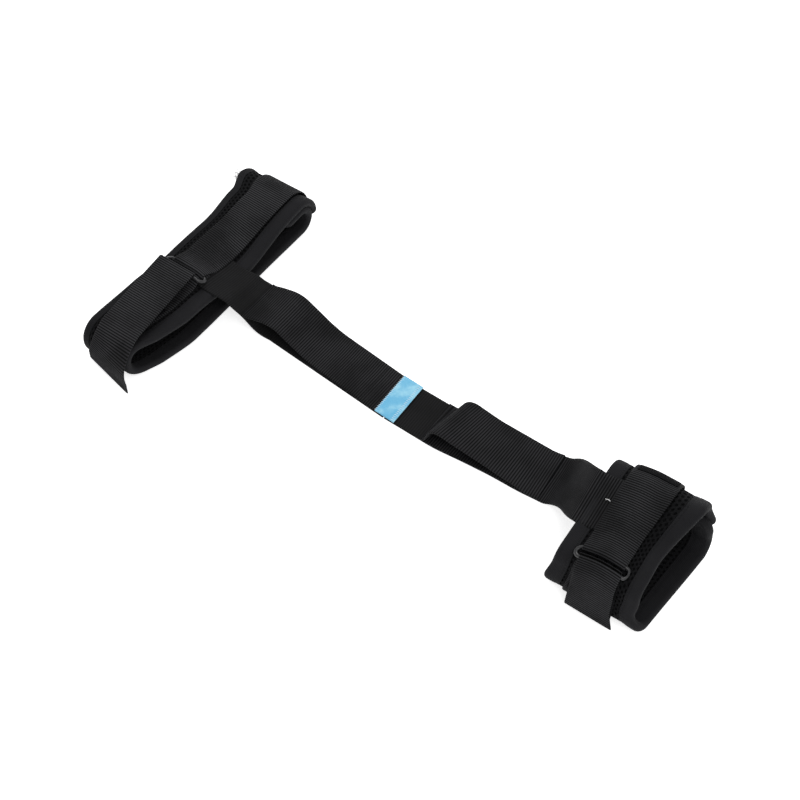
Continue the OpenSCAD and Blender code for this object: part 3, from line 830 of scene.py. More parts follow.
def weave(name, ribbon, finish=webbing_black, pitch=rib_pitch, depth=rib_depth):
    """Weaves a length of webbing along a ribbon."""
    rows = int(ribbon.length / pitch * 4) + 1
    return grow(name, web_tree, Guide=ribbon.guide(), Length=ribbon.length * mm,
                Width=ribbon.width * mm, Thickness=webbing * mm, Pitch=pitch * mm,
                Depth=depth * mm, Rows=rows, Finish=finish)


def flat_size(ribbon):
    """Width and length of the webbing as it is cut, in metres."""
    return (ribbon.width * mm, ribbon.length * mm)


def cuff_length(name, ribbon, body, node, finish=webbing_black, pitch=rib_pitch):
    """A length of webbing that one body carries."""
    piece = weave(name, ribbon, finish, pitch)
    belongs(piece, body, node)
    flat_size(ribbon)


def end_at_ring(whose, ribbon, finish=webbing_black, pitch=rib_pitch):
    """The webbing's last stretch, which bends between the cuff and its ring."""
    piece = weave(whose + "_webbing_end", ribbon, finish, pitch)
    flat_size(ribbon)
    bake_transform(piece)


def towards(heading):
    """A step of one at this heading: how far across, and how far up."""
    return np.array([math.cos(math.radians(heading)), math.sin(math.radians(heading))])


def slope_run(drop, angle, arcs):
    """Straight part of an S that comes down at this angle; arcs is the sum of its two radii."""
    return (drop - arcs * (1 - math.cos(math.radians(angle)))) / math.sin(math.radians(angle))


def slope_length(drop, angle, arcs):
    """How far along such an S goes."""
    along, up = towards(angle)
    return float(arcs * up + slope_run(drop, angle, arcs) * along)


bar_r = 1.7
bar_gap = 9.5
wrap_r = bar_r + slack + webbing / 2
turned = 8
swoop_r = 12
swoop = 20
thigh_ring_tilt = 20
thigh_bar = np.array([-16, thigh_top_z + over_strap + wrap_r])
thigh_outer_bar = thigh_bar + bar_gap * towards(180 - thigh_ring_tilt)


def off_bar(drop):
    """Legs of the webbing from its turned-under end, round the bar and down in an easy S."""
    return [(turned, wrap_r, -180), (0, swoop_r, -swoop),
            (slope_run(drop, swoop, 2 * swoop_r), swoop_r, swoop)]


def run_to_flat(drop):
    """Length of webbing up to where it lies flat on the pad."""
    return (turned + math.pi * wrap_r + 2 * swoop_r * math.radians(swoop)
            + slope_run(drop, swoop, 2 * swoop_r))


# It leaves the far bend at a slant, so that it meets the table under the cuff.
thigh_far_r = thigh_top_z + over_strap - thigh_far_z
thigh_exit = 65
leave = math.radians(thigh_exit)
thigh_leave = (thigh_far_y + thigh_far_r * math.sin(leave),
               thigh_far_z - thigh_far_r * math.cos(leave))
thigh_exit_r = (thigh_leave[1] - webbing / 2) / (1 - math.cos(leave))
thigh_bottom_y = thigh_leave[0] - thigh_exit_r * math.sin(leave)
thigh_near_web_r = thigh_near_r + on_pad
thigh_web_end_y = -50
thigh_over_run = (thigh_far_y - thigh_bar[0] - slope_length(2 * wrap_r, swoop, 2 * swoop_r))
thigh_web_route = route(
    (thigh_bar[0] + turned, thigh_top_z + over_strap), 180,
    off_bar(2 * wrap_r) + [
        (thigh_over_run, thigh_far_r, thigh_exit - 180), (0, thigh_exit_r, -thigh_exit),
        (thigh_bottom_y - thigh_near_y, thigh_near_web_r, -180),
        (thigh_web_end_y - thigh_near_y, 0, 0)])
thigh_ring_drift = -5


def thigh_web_place(y, z):
    """The webbing runs a little aslant over the top, so its ring lies nearer the free rim."""
    return thigh_web_x + thigh_ring_drift / 2 * soft(y, 48, -12) * soft(z, 12, 42)


thigh_web = cuff_ribbon(thigh_web_route, thigh_web_place, cuff_web_w, settle_thigh)
cuff_length("thigh_webbing", thigh_web, "thigh_cuff", "thigh_cuff_webbing")
thigh_end_route = route((thigh_web_end_y - 0.2, thigh_top_z + on_pad), 0,
                        [(14.2, 12, 30), (7.4, wrap_r, 118)])
thigh_end_web = cuff_ribbon(thigh_end_route, thigh_web_place, cuff_web_w, settle_thigh)
end_at_ring("thigh", thigh_end_web)


def sew_box(whose, ribbon, start, end):
    """A sewn box with a cross in it, which holds the webbing, the strap's end and the pad."""
    half = 17
    corners = [(start, -half), (start, half), (end, half), (end, -half)]
    pairs = [(0, 1), (1, 2), (2, 3), (3, 0), (0, 2), (1, 3)]
    rows = [row_of(ribbon, corners[a], corners[b], on_webbing) for a, b in pairs]
    sew(whose + "_box_stitches", rows, whose + "_cuff", whose + "_box_stitching")


on_webbing = webbing / 2 - 0.05                   # thread pulled into the webbing's face
thigh_box_start = run_to_flat(2 * wrap_r) + 1
sew_box("thigh", thigh_web, thigh_box_start, thigh_box_start + 20)


# ---- Thigh cuff: hook and loop tape ---------------------------------------------------------
# Loop tape is sewn to the webbing, and hook tape to the tail that is pressed on it. Each is a
# thin woven strip with a dense pile of loops or hooks standing on it.

tape = 0.9
tape_w = 38
on_tape = on_pad + webbing + 2 * tape + 4 * slack  # from the pad's middle to a tail on its tapes
on_web = (webbing + tape) / 2 + slack              # from webbing's middle to tape that lies on it

pile_tree, (pile_guide, pile_dense, pile_high, pile_seed, pile_finish, _) = new_tree(
    "tape_pile", Guide="Object", Density="Float", Height="Float", Seed="Int",
    Finish="Material")
pile_bed = Wire.node(pile_tree, "GeometryNodeObjectInfo", out="Geometry", Object=pile_guide)
pile, pile_turn = Wire.node(pile_tree, "GeometryNodeDistributePointsOnFaces", None,
                            ("Points", "Rotation"), Mesh=pile_bed, Density=pile_dense,
                            Seed=pile_seed)
hook = Wire.node(pile_tree, "GeometryNodeMeshCylinder", {"fill_type": "NGON"}, "Mesh",
                 Vertices=4, Side_Segments=3, Radius=pile_high * 0.14, Depth=pile_high)
_, _, hook_z = point_axes(pile_tree)
hook_lean = vector_of(pile_tree, X=(hook_z / pile_high + 0.5) ** 2 * pile_high * 0.7,
                      Z=pile_high * 0.4)
hook = Wire.node(pile_tree, "GeometryNodeSetPosition", Geometry=hook, Offset=hook_lean)
hook_turn = Wire.node(pile_tree, "FunctionNodeRandomValue", {"data_type": "FLOAT_VECTOR"},
                      Min=(-0.3, -0.3, 0), Max=(0.3, 0.3, 6.28), Seed=pile_seed)
hook_turn = Wire.node(pile_tree, "FunctionNodeRotateRotation", {"rotation_space": "LOCAL"},
                      Rotation=pile_turn, Rotate_By=hook_turn)
pile = Wire.node(pile_tree, "GeometryNodeInstanceOnPoints", Points=pile, Instance=hook,
                 Rotation=hook_turn)
end_tree(pile, pile_finish, smooth=False)

tape_black, tape_tree = new_finish("hook_and_loop_tape")
tape_fuzz = speckle(tape_tree, 1500, 3.0)
show(tape_tree, Base_Color=tint(tape_fuzz, (0.0015, 0.0015, 0.002), (0.007, 0.007, 0.008)),
     Roughness=0.9, Specular_IOR_Level=0.06, Sheen_Weight=0.01,
     Normal=relief(tape_fuzz, 0.0005))


def pile_tape(name, ribbon, body, node, seed):
    """A strip of tape with its pile on the outer side of the ribbon."""
    strip = grow(name, web_tree, Guide=ribbon.guide(), Length=ribbon.length * mm,
                 Width=ribbon.width * mm, Thickness=(tape - 0.4) * mm, Pitch=1.6 * mm,
                 Depth=0.06 * mm, Rows=int(ribbon.length * 1.5) + 2, Finish=tape_black)
    nap = grow(name + "_pile", pile_tree, Guide=ribbon.guide(), Density=0.9 / mm**2,
               Height=0.55 * mm, Seed=seed, Finish=tape_black)
    belongs(join([strip, nap]), body, node)


thigh_loop_ribbon = cuff_ribbon(
    route((thigh_near_y, thigh_top_z + on_pad + on_web), 0, [(45, 0, 0)]), thigh_web_place,
    tape_w, settle_thigh)
pile_tape("thigh_loop_patch", thigh_loop_ribbon, "thigh_cuff", "thigh_loop_tape", seed=3)


# ---- Thigh cuff: pull ring ------------------------------------------------------------------
# A moulded ring of two round bars joined at both ends. A fine parting line runs round it.

ring_black, ring_tree = new_finish("moulded_ring")
ring_grain = speckle(ring_tree, 900, 3.0)
ring_cloud = speckle(ring_tree, 120)
show(ring_tree, Base_Color=tint(ring_cloud, (0.009, 0.009, 0.01), (0.02, 0.02, 0.022)),
     Roughness=ring_grain * 0.2 + 0.26, Specular_IOR_Level=0.5,
     Normal=relief(ring_grain, 0.00004))


def pull_ring(whose, x, bar, heading, settle):
    """Sweeps the ring's round bar along both long sides and round both ends."""
    half, end_r = (cuff_web_w + 2) / 2, bar_gap / 2
    turn = np.radians(np.linspace(-90, 90, 17))
    side = np.linspace(-half, half, 20)[1:-1]
    none, one = np.zeros(len(side)), np.ones(len(side))
    path_x = np.r_[half + end_r * np.cos(turn), side[::-1], -half - end_r * np.cos(turn), side]
    path_b = end_r * (np.r_[np.sin(turn), one, -np.sin(turn), -one] + 1)
    away_x = np.r_[np.cos(turn), none, -np.cos(turn), none]
    away_b = np.r_[np.sin(turn), one, -np.sin(turn), -one]
    in_plane = np.array([0, *towards(heading)])
    upright = np.array([0, *towards(heading + 90)])
    middle = np.outer(path_x, [1, 0, 0]) + np.outer(path_b, in_plane) + [x, *bar]
    away = np.outer(away_x, [1, 0, 0]) + np.outer(away_b, in_plane)
    spin = np.linspace(0, 2 * np.pi, 24, endpoint=False)
    thick = bar_r + 0.1 * np.exp(-(np.sin(spin) / 0.16) ** 2)
    rings = (middle[:, None] + away[:, None] * (np.cos(spin) * thick)[:, None]
             + upright * (np.sin(spin) * thick)[:, None])
    rings = settle(rings) * mm + home
    count, around = rings.shape[:2]
    index = np.arange(count * around).reshape(count, around)
    ahead, over = np.roll(index, -1, axis=0), np.roll(index, -1, axis=1)
    faces = np.stack([index, ahead, np.roll(ahead, -1, axis=1), over], axis=2).reshape(-1, 4)
    ring = new_object(whose + "_pull_ring", rings.reshape(-1, 3), [], faces.tolist(), ring_black)
    turn_faces_out(ring)
    belongs(ring, whose + "_ring", whose + "_ring")


pull_ring("thigh", thigh_web_x + thigh_ring_drift, thigh_bar, 180 - thigh_ring_tilt,
          settle_thigh)


# ---- Thigh cuff: tail -----------------------------------------------------------------------
# The free end of the webbing: it turns back over the ring's outer bar, lies over the near bend
# of the cuff and hangs off it, curling out and twisting to one corner.

opening = 60                                      # how far round the bar the tail starts


def tail_route(bar, centre, radius, down, rest):
    """Off the outer bar, straight to a bend of the cuff, round it, and on."""
    reach = math.hypot(centre[0] - bar[0], centre[1] - bar[1])
    heading = (math.degrees(math.atan2(centre[1] - bar[1], centre[0] - bar[0]))
               - math.degrees(math.asin((radius - wrap_r) / reach))) % 360
    start = heading - opening
    spot = (bar[0] + wrap_r * math.sin(math.radians(start)),
            bar[1] - wrap_r * math.cos(math.radians(start)))
    run = math.sqrt(reach**2 - (radius - wrap_r) ** 2)
    return route(spot, start, [(0, wrap_r, opening), (run, radius, down - heading), *rest])


def thigh_tail_place(y, z):
    """The tail comes back towards the strap as it nears its end."""
    return thigh_web_x - 8.5 + 10.5 * soft(y, -70, -140)


thigh_tail_stations = tail_route(thigh_outer_bar, (thigh_near_y, thigh_near_z),
                                 thigh_near_r + on_tape + 5, 266, [(11, 0, 0)])
tail_places, tail_sides = round_cuff(thigh_tail_stations, thigh_tail_place, facing_in=True)
tail_steps = np.linalg.norm(np.diff(tail_places, axis=0), axis=1)
tail_left = np.concatenate([[0], np.cumsum(tail_steps[::-1])])[::-1]
tail_ahead = np.gradient(tail_places, axis=0)
tail_ahead /= np.linalg.norm(tail_ahead, axis=1)[:, None]
tail_sides = tail_sides + tail_ahead * (0.55 * soft(tail_left, 46, 0))[:, None]
thigh_tail_ribbon = Ribbon(tail_places, tail_sides, cuff_web_w)
cuff_length("thigh_tail", thigh_tail_ribbon, "thigh_tail", "thigh_tail_webbing")


def under_tail(ribbon, start, end):
    """The underside of a tail between two places short of its end, where hook tape is sewn."""
    along = np.linspace(ribbon.length - start, ribbon.length - end, 60)
    side = ribbon.at(along, ribbon.width / 2) - ribbon.at(along, -ribbon.width / 2)
    side /= np.linalg.norm(side, axis=1)[:, None]
    spots = ribbon.at(along, 0, -on_web)
    return Ribbon((spots - home) / mm, -side, tape_w)


pile_tape("thigh_hook_strip", under_tail(thigh_tail_ribbon, 72, 26), "thigh_tail",
          "thigh_hook_tape", seed=5)


# ---- Ankle cuff: pad ------------------------------------------------------------------------
# The same pad as the thigh's, rolled up smaller: it sits on a flat bottom, its near wall leans
# in, its top rises to the far side, and its ends lap down the far wall.

ankle_x, ankle_pad_w = span("ankle_edge_binding")
ankle_web_x, _ = span("ankle_cuff_webbing")
ankle_flat = 83
ankle_slope = 14
ankle_in_r = 13.5
ankle_corner_r = 12
ankle_near_r = 14
ankle_wall = 22
ankle_lean = 10
near_up = 90 - 18
ankle_inner_run = 26
ankle_outer_run = 22
shoulder_r = 18
ankle_far_y = 9
ankle_near_y = ankle_far_y - ankle_flat
ankle_inner = (np.array([ankle_far_y, pad_z + ankle_in_r]) + ankle_in_r * towards(ankle_lean)
               + ankle_inner_run * towards(90 + ankle_lean))
ankle_wall_foot = (np.array([ankle_near_y, pad_z + ankle_corner_r])
                   + ankle_corner_r * towards(near_up + 90))
ankle_near_c = (ankle_wall_foot + ankle_wall * towards(near_up)
                + ankle_near_r * towards(near_up - 90))
ankle_top = ankle_near_c + ankle_near_r * towards(90 + ankle_slope)
# The sloping top is as long as it takes for the outer end to lie against the inner one.
wall_way = towards(ankle_lean - 90)
top_way = towards(ankle_slope)
shoulder = shoulder_r * (towards(ankle_lean) - towards(90 + ankle_slope))
wall_spot = ankle_inner + (2 * rim + lap_gap) * towards(ankle_lean)
ankle_top_run = float(np.cross(wall_spot - ankle_top - shoulder, wall_way)
                      / np.cross(top_way, wall_way))
shoulder_turn = ankle_slope + 90 - ankle_lean
ankle_pad_route = route(
    ankle_inner, ankle_lean - 90,
    [(ankle_inner_run, ankle_in_r, -90 - ankle_lean),
     (ankle_flat, ankle_corner_r, near_up - 180), (ankle_wall, ankle_near_r, ankle_slope - near_up),
     (ankle_top_run, shoulder_r, -shoulder_turn), (ankle_outer_run, 0, 0)])


def settle_ankle(spots):
    """How the cuff sits: its free rim leans out at the far side and in at the near side and bulges
    over the shoulder, and its strap-side rim is drawn down."""
    x, y, z = spots[..., 0], spots[..., 1], spots[..., 2]
    free_side = soft(x, ankle_x, ankle_x + 46)
    strap_side = soft(x, ankle_x - 2, ankle_x - 46)
    near = np.clip((12 - y) / 95, 0, 1)
    foot_lean = 11 - 9.5 * near
    wall_lean = 9 - 19 * near
    top_lean = -13 * soft(y, 8, -45)
    free_lean = (foot_lean + (wall_lean - foot_lean) * soft(z, 4, 28)
                 + (top_lean - wall_lean) * soft(z, 30, 58))
    lean = free_side * free_lean - strap_side * 4 * near * soft(z, 40, 0)
    bulge = 0.17 * np.exp(-((y + 4) / 17) ** 2) - 0.07 * soft(y, -18, -42)
    sink = -0.13 - 0.07 * soft(y, -5, -48)
    rise = z * soft(z, 10, 40) * (free_side * bulge + strap_side * sink)
    ripple = 0.8 * np.sin(y / 15 + 0.6) * soft(z, 30, 55)
    fade = soft(x, 176, 214)
    return np.stack([x + lean, y, z + (rise + ripple) * fade], axis=-1)


ankle_pad = cuff_ribbon(ankle_pad_route, ankle_x, ankle_pad_w, settle_ankle, corner=pad_corner)
ankle_binds = (bind_w, bind_w)
pad_core("ankle", ankle_pad, ankle_pad_w)
pad_cloths("ankle", ankle_pad_route, ankle_x, ankle_pad_w, settle_ankle)
bind("ankle", ankle_pad, ankle_pad_w, ankle_binds)
sew_binding("ankle", ankle_pad, ankle_pad_w, ankle_binds)


# ---- Ankle cuff: webbing, ring and tapes ----------------------------------------------------
# As on the thigh cuff, but here the ring lies at the near end of the sloping top, and the tail
# is pressed down the near wall.

ankle_bar_run = 4
ankle_bar_foot = ankle_top + ankle_bar_run * towards(ankle_slope)
ankle_bar = ankle_bar_foot + (on_pad + wrap_r) * towards(ankle_slope + 90)
ankle_outer_bar = ankle_bar + bar_gap * towards(ankle_slope + 180)
ankle_drop = on_pad + 2 * wrap_r - over_strap
ankle_s_length = slope_length(ankle_drop, swoop, 2 * swoop_r)
ankle_over_run = ankle_top_run - ankle_bar_run - ankle_s_length
ankle_web_start = (ankle_bar_foot + on_pad * towards(ankle_slope + 90)
                   + turned * towards(ankle_slope))
shoulder_foot = ankle_top + ankle_top_run * towards(ankle_slope)
shoulder_c = shoulder_foot - shoulder_r * towards(ankle_slope + 90)
ankle_leave = (shoulder_c + (shoulder_r + over_strap) * towards(ankle_lean)
               + (ankle_outer_run + 2) * wall_way)
web_corner = 16
ankle_web_rise = 60                               # slope of its last stretch, up to the ring
lean = math.radians(ankle_lean)
ankle_down = (ankle_leave[1] - webbing / 2 - web_corner * (1 + math.sin(lean))) / math.cos(lean)
ankle_bottom_y = ankle_leave[0] + ankle_down * math.sin(lean) - web_corner * math.cos(lean)
ankle_web_route = route(
    ankle_web_start, ankle_slope + 180,
    off_bar(ankle_drop) + [
        (ankle_over_run, shoulder_r + over_strap, -shoulder_turn),
        (ankle_outer_run + 2 + ankle_down, web_corner, -90 - ankle_lean),
        (ankle_bottom_y - ankle_near_y, ankle_corner_r + on_pad, near_up - 180),
        (ankle_wall, ankle_near_r + on_pad, ankle_web_rise - near_up)])
ankle_web = cuff_ribbon(ankle_web_route, ankle_web_x, cuff_web_w, settle_ankle)
ankle_pitch = 2.1
# A copy of the webbing whose painted crest highlight is a little dimmer.
ankle_webbing_black = webbing_finish("ankle_webbing_black", 0.001, 0.037, ankle_pitch)
cuff_length("ankle_webbing", ankle_web, "ankle_cuff", "ankle_cuff_webbing",
            ankle_webbing_black, ankle_pitch)
ankle_end_route = route(ankle_web_route[-1][:2], ankle_web_rise,
                        [(0, ankle_near_r + on_pad, -25), (2.5, 3.1, 113)])
ankle_end_web = cuff_ribbon(ankle_end_route, ankle_web_x, cuff_web_w, settle_ankle)
end_at_ring("ankle", ankle_end_web, ankle_webbing_black,
            ankle_pitch)

ankle_lap_run = 48                                # how far on, from the bend, the strap's end lies
ankle_box_start = run_to_flat(ankle_drop) + ankle_lap_run - 20 - (ankle_bar_run + ankle_s_length)
sew_box("ankle", ankle_web, ankle_box_start, ankle_box_start + 40)

ankle_ring_drift = 2
pull_ring("ankle", ankle_web_x + ankle_ring_drift, ankle_bar, 180 + ankle_slope, settle_ankle)


def ankle_tail_place(y, z):
    """It hangs a little aslant, to the free rim's side."""
    return ankle_web_x + ankle_ring_drift + 5 * soft(z, 52, 10)


ankle_tail_route = tail_route(ankle_outer_bar, ankle_near_c, ankle_near_r + on_tape,
                              180 + near_up, [(38, 0, 0)])
ankle_tail_ribbon = cuff_ribbon(ankle_tail_route, ankle_tail_place, cuff_web_w, settle_ankle,
                                facing_in=True)
cuff_length("ankle_tail", ankle_tail_ribbon, "ankle_tail", "ankle_tail_webbing",
            ankle_webbing_black, ankle_pitch)
pile_tape("ankle_hook_strip", under_tail(ankle_tail_ribbon, 31, 2), "ankle_tail",
          "ankle_hook_tape", seed=7)

ankle_loop_route = route(ankle_wall_foot + (on_pad + on_web) * towards(near_up + 90), near_up,
                         [(ankle_wall, 0, 0)])
ankle_loop_ribbon = cuff_ribbon(ankle_loop_route, ankle_web_x, tape_w, settle_ankle)
pile_tape("ankle_loop_patch", ankle_loop_ribbon, "ankle_cuff", "ankle_loop_tape", seed=9)

# A short doubled end of hook tape is left standing on the far shoulder.
tab_r = shoulder_r + over_strap + on_web
tab_start, tab_turn = ankle_slope - 34, 26
tab_route = route(shoulder_c + tab_r * towards(tab_start + 90), tab_start,
                  [(0, tab_r, -tab_turn)])
ankle_tab_ribbon = cuff_ribbon(tab_route, ankle_web_x, tape_w, settle_ankle)
pile_tape("ankle_far_tab", ankle_tab_ribbon, "ankle_cuff", "ankle_far_hook_tab", seed=11)


# ---- Strap ----------------------------------------------------------------------------------
# One length of wider webbing from cuff to cuff. It comes off the thigh cuff's top, drops to
# the table, wanders along it, and climbs the ankle cuff's rim. It is three lengths here, cut
# under the label and under the ankle grip's sewn end, one for each fold.

strap_w = 50


def eased(x, knots, values):
    """A smooth run through values at knots along the strap."""
    fine = np.arange(-330, 331)
    bell = np.exp(-(np.arange(-24, 25) / 9.0) ** 2)
    plain = np.pad(np.interp(fine, knots, values), 24, mode="edge")
    return np.interp(x, fine, np.convolve(plain, bell / bell.sum(), mode="valid"))


def across(x):
    """How far the strap's middle wanders to the far side."""
    return eased(x, [-206, -175, -140, -100, -50, 0, 60, 90, 120, 150, 166],
                 [0, 7, 11, 9, 3, -2, -3, 0, 2, 2, 3])


def strap_tilt(x):
    """Towards the ankle cuff the strap's far edge lifts first; in radians."""
    return np.radians(eased(x, [112, 150, 168, 187, 200, 216],
                            [0, 8, 15, 26, 27, ankle_slope]))


def along_strap(stations):
    """Places and side vectors of a strip whose stations are [along, up, heading]."""
    x, z, _ = np.array(stations).T
    tilt = strap_tilt(x)
    places = np.column_stack([x, across(x), z + strap_w / 2 * np.sin(tilt)])
    return places, np.column_stack([np.zeros(len(x)), np.cos(tilt), np.sin(tilt)])


def settle_strap(spots):
    """On the cuffs the strap lies as they lie."""
    return settle_ankle(settle_thigh(spots))


thigh_rim_x = thigh_x + thigh_pad_w / 2
drop_a = 52
drop_r = (18, 28)
thigh_top_run = 58
lap_z = thigh_top_z + on_pad
strap_drop = (lap_z - webbing / 2, drop_a, sum(drop_r))
table_x = thigh_rim_x + slope_length(*strap_drop)
ankle_seam_x = 46
strap_bed = webbing / 2 + 0.05

# Two copies of the webbing for the strap: one with a dimmer painted crest highlight than the
# cuffs', and one with a much fainter painted crest highlight and paler painted groove shade.
strap_black = webbing_finish("strap_webbing_black", 0.001, 0.031)
strap_faint_highlight = webbing_finish("strap_webbing_pressed", 0.007, 0.015)


def strap_piece(name, ribbon, nodes, smooth=False):
    """Weaves one length of the strap and hides the CAD pieces that it stands for."""
    # A smooth length gets shallower woven ribs and the copy with the fainter painted highlight.
    piece = weave(name, ribbon, strap_faint_highlight if smooth else strap_black,
                  depth=rib_depth * (0.4 if smooth else 1))
    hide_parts(*nodes)
    flat_size(ribbon)
    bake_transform(piece)


thigh_fold_x, mid_fold_x, ankle_fold_x = -181, 31, 166
left_ribbon = Ribbon(*along_strap(route(
    (thigh_rim_x - thigh_top_run, lap_z), 0,
    [(thigh_top_run, drop_r[0], -drop_a), (slope_run(*strap_drop), drop_r[1], drop_a),
     (-table_x, 0, 0)])), strap_w, settle_strap)
strap_piece("strap_thigh_length", left_ribbon,
            ("thigh_link_webbing", "strap_webbing_thigh_side"), smooth=True)
middle_ribbon = Ribbon(*along_strap(route((0.1, strap_bed), 0, [(ankle_seam_x - 0.2, 0, 0)])),
                       strap_w)
strap_piece("strap_middle_length", middle_ribbon, (),
            smooth=True)

ankle_lap = (ankle_top + ankle_lap_run * towards(ankle_slope)
             + on_pad * towards(ankle_slope + 90))
lap_start_x = ankle_x - ankle_pad_w / 2 - 3
climb_run = lap_start_x - ankle_fold_x
flat_x = np.linspace(ankle_seam_x, ankle_fold_x, 60)
share = np.linspace(0, 1, 40)[1:]
lap_x = np.linspace(lap_start_x, ankle_web_x + cuff_web_w / 2 - 4, 20)[1:]
rise = soft(share, 0.12, 1) * (0.5 + 0.5 * share)
climb_x = ankle_fold_x + climb_run * share
climb_y = (across(ankle_fold_x)
           + (ankle_lap[0] - across(ankle_fold_x)) * soft(share, 0.25, 1.05))
flat_z = strap_bed + strap_w / 2 * np.sin(strap_tilt(flat_x))
climb_z = (strap_bed + strap_w / 2 * np.sin(strap_tilt(climb_x))) * (1 - rise)
right_places = np.vstack([
    np.column_stack([flat_x, across(flat_x), flat_z]),
    np.column_stack([climb_x, climb_y, climb_z + ankle_lap[1] * rise]),
    np.column_stack([lap_x, np.tile(ankle_lap, (len(lap_x), 1))])])
right_tilt = strap_tilt(right_places[:, 0])
right_sides = np.column_stack([np.zeros(len(right_tilt)), np.cos(right_tilt), np.sin(right_tilt)])
right_ribbon = Ribbon(right_places, right_sides, strap_w, settle_strap)
strap_piece("strap_ankle_length", right_ribbon,
            ("strap_webbing_ankle_side", "ankle_link_webbing"))


# ---- Hand grips -----------------------------------------------------------------------------
# A second layer of the same webbing on each half of the strap, sewn down at both ends and
# longer than the strap beneath it, so that a hand goes between the two.

grip_z = 1.5 * webbing + slack + 0.05
landing_r = 60                                    # how gently a grip comes down to the strap
steep = math.radians(drop_a)
fold_z = lap_z - drop_r[0] * (1 - math.cos(steep)) - (
    thigh_fold_x - thigh_rim_x - drop_r[0] * math.sin(steep)) * math.tan(steep)
grip_a_start = (np.array([thigh_fold_x, fold_z]) + 3 * towards(-drop_a)
                + (webbing + slack) * towards(90 - drop_a))
grip_a_end = 26
grip_a_legs = [(1, 5, 60), (16, 34, drop_a - 60 - grip_a_end)]
label_l = (label_high.x - label_low.x) / mm


def grip_route(start, heading, legs, slope, end_x):
    """Over the hump of a grip by these legs, down a slope to the strap, and flat to its end."""
    foot_x, foot_z, _ = route(start, heading, legs)[-1]
    landing = (foot_z - grip_z, slope, landing_r)
    flat_run = end_x - foot_x - slope_length(*landing)
    return route(start, heading,
                 legs + [(slope_run(*landing), landing_r, slope), (flat_run, 0, 0)])


thigh_grip_ribbon = Ribbon(*along_strap(grip_route(
    grip_a_start, -drop_a, grip_a_legs, grip_a_end, 4 - label_l / 2)), strap_w, settle_strap)
strap_piece("thigh_side_hand_grip", thigh_grip_ribbon,
            ("thigh_side_grip",))

grip_b_x = 43
grip_b_end = 12
grip_b_legs = [(5, 4, 75), (11, 12, -94), (12, 150, 7)]
grip_places, grip_sides = along_strap(grip_route(
    (grip_b_x, grip_z), 0, grip_b_legs, grip_b_end, ankle_fold_x - 3))
# Its fold stands aslant: the far edge folds up nearer the ankle cuff.
grip_sides[:, 0] = 0.2 * soft(grip_places[:, 0], grip_b_x, grip_b_x + 6) * soft(
    grip_places[:, 0], 130, 60)
ankle_grip_ribbon = Ribbon(grip_places, grip_sides, strap_w)
strap_piece("ankle_side_hand_grip", ankle_grip_ribbon,
            ("ankle_side_grip",))


def bar_tacks(whose, ribbon, middles, body):
    """Dense rows of thread across a grip, three to a tack."""
    inner = ribbon.width / 2 - 4
    rows = [row_of(ribbon, (u + shift, -inner), (u + shift, inner), on_webbing)
            for u in middles for shift in (-0.6, 0, 0.6)]
    sew(whose + "_side_tacks", rows, body, whose + "_side_bar_tacks", pitch=1.3, long=1.5,
        radius=0.2)


bar_tacks("thigh", thigh_grip_ribbon,
          (thigh_grip_ribbon.length - 22.5, thigh_grip_ribbon.length - 16.5), "strap")
bar_tacks("ankle", ankle_grip_ribbon, (2, ankle_grip_ribbon.length - 12), "ankle_strap")


# ---- Label ----------------------------------------------------------------------------------
# A plain sky-blue satin label, woven without any mark and sewn across the strap over the end
# of the thigh grip, with pale whip stitches at both ends.

label_t = 0.5
label_ribbon = Ribbon(*along_strap(route(
    (-label_l / 2, grip_z + (webbing + label_t) / 2), 0, [(label_l, 0, 0)])), strap_w + 0.6)
satin, satin_tree = new_finish("sky_blue_satin")
_, satin_v = flat_axes(satin_tree)
satin_rib = ridges(satin_v, 0.0007)
# Blotches of paler and darker blue on the label are painted satin sheen.
satin_sheen_cloud = speckle(satin_tree, 70, 3.0)
show(satin_tree, Base_Color=tint(satin_sheen_cloud.between(0.36, 0.64) * 0.75 + satin_rib * 0.25,
                                 (0.09, 0.43, 0.70), (0.33, 0.67, 0.84)),
     Roughness=satin_rib * 0.15 + 0.38, Specular_IOR_Level=0.4, Sheen_Weight=0.1,
     Normal=relief(satin_rib * 0.6 + satin_sheen_cloud * 0.4, 0.00012))
satin_pitch = 0.9
label = grow("satin_label", web_tree, Guide=label_ribbon.guide(), Length=label_l * mm,
             Width=label_ribbon.width * mm, Thickness=label_t * mm, Pitch=satin_pitch * mm,
             Depth=0.05 * mm, Rows=int(label_l / satin_pitch * 4), Finish=satin)
belongs(label, "strap", "woven_label")
flat_size(label_ribbon)

pale_thread = thread_finish_of("pale_blue_thread", (0.6, 0.78, 0.88), (0.85, 0.93, 0.97))
whip_rows = []
for middle_u in (2, label_l - 2):
    for v in np.arange(-23.5, 24, 2.2):
        whip_rows.append(row_of(label_ribbon, (middle_u - 1.5, v), (middle_u + 1.5, v + 0.9),
                                label_t / 2 + 0.1))
sew("label_whip_stitches", whip_rows, "strap", "label_stitching", pitch=8, long=2.8, radius=0.26,
    finish=pale_thread)


# ---- Loose thread ends ----------------------------------------------------------------------
# A short end of pale thread left beside the ankle seam, and frayed yarn at the thigh cuff's far
# corner. Both are loose spun polyester that nobody trimmed.

white_thread = thread_finish_of("white_thread", (0.5, 0.5, 0.5), (0.75, 0.75, 0.74))


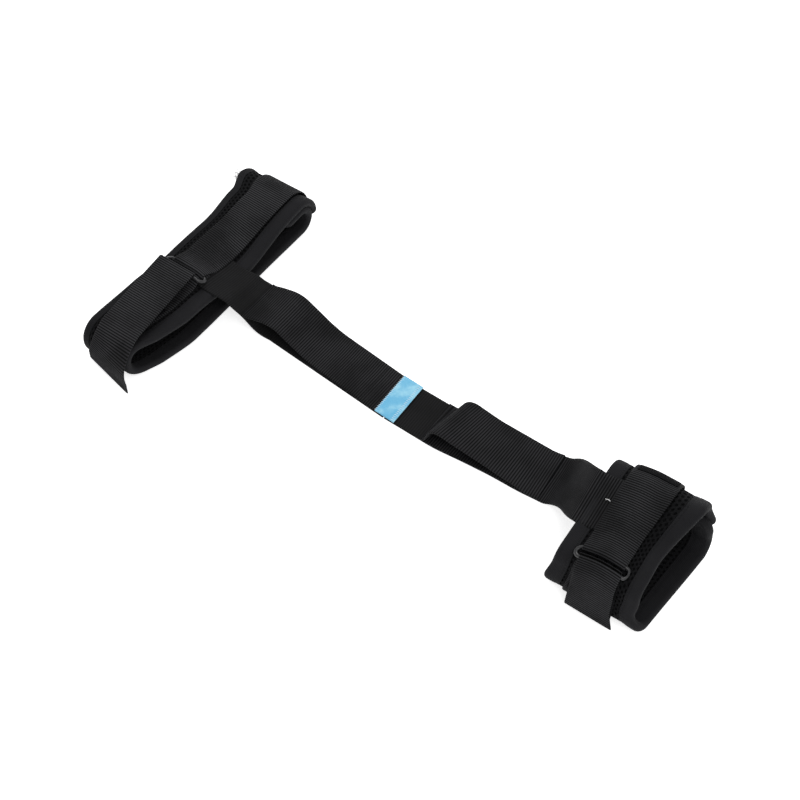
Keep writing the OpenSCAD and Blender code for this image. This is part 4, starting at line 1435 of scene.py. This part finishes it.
def thread_end(name, path, radius, finish):
    """A thin round thread along a path of places in millimetres."""
    path = np.array(path, float)
    fine = np.linspace(0, len(path) - 1, 24)
    middle = np.column_stack([np.interp(fine, np.arange(len(path)), path[:, k])
                              for k in range(3)])
    ahead = np.gradient(middle, axis=0)
    side = np.cross(ahead, [0.3, 0.2, 0.9])
    side /= np.linalg.norm(side, axis=1)[:, None]
    up = np.cross(side, ahead)
    up /= np.linalg.norm(up, axis=1)[:, None]
    spin = np.linspace(0, 2 * np.pi, 6, endpoint=False)
    rings = middle[:, None] + radius * (side[:, None] * np.cos(spin)[:, None]
                                        + up[:, None] * np.sin(spin)[:, None])
    return skin(name, rings * mm + home, finish)


def nearest_row(ribbon, x):
    """How far along a ribbon its middle comes to this x."""
    middle_x = (ribbon.spots[:, ribbon.spots.shape[1] // 2, 0] - home[0]) / mm
    return ribbon.length * int(np.argmin(np.abs(middle_x - x))) / (len(middle_x) - 1)


end_u = nearest_row(right_ribbon, 229)
end_path = right_ribbon.at(end_u + np.array([0, 1.6, 3.4, 5.5]), np.array([4, 3.6, 3.9, 3]),
                           np.array([0.8, 1.9, 2.6, 2.4]))
seam_end = thread_end("ankle_seam_thread_end", (end_path - home) / mm, 0.42, white_thread)
belongs(seam_end, "ankle_cuff")

# The frayed yarn stands out of the binding.
pale_yarn = thread_finish_of("pale_yarn", (0.3, 0.3, 0.3), (0.6, 0.6, 0.59))
chance = np.random.default_rng(4)
far_corner = thigh_pad.length - math.radians(thigh_last_turn) * thigh_out_r
hairs = []
for _ in range(22):
    u = far_corner - chance.uniform(-3, 9)
    root = (thigh_pad.at(u, thigh_pad_w / 2 - 1, chance.uniform(-2, 4)) - home) / mm
    way = np.array([-1.0, chance.uniform(-0.2, 0.9), chance.uniform(-0.5, 0.8)])
    way *= chance.uniform(4, 8.5) / np.linalg.norm(way)
    bend = chance.uniform(-1.2, 1.2, 3)
    hairs.append(thread_end("hair", [root - way * 0.2, root + way * 0.45 + bend * 0.5, root + way],
                            0.2, pale_yarn))
frayed = join(hairs)
frayed.name = "frayed_yarn_ends"
belongs(frayed, "thigh_cuff")
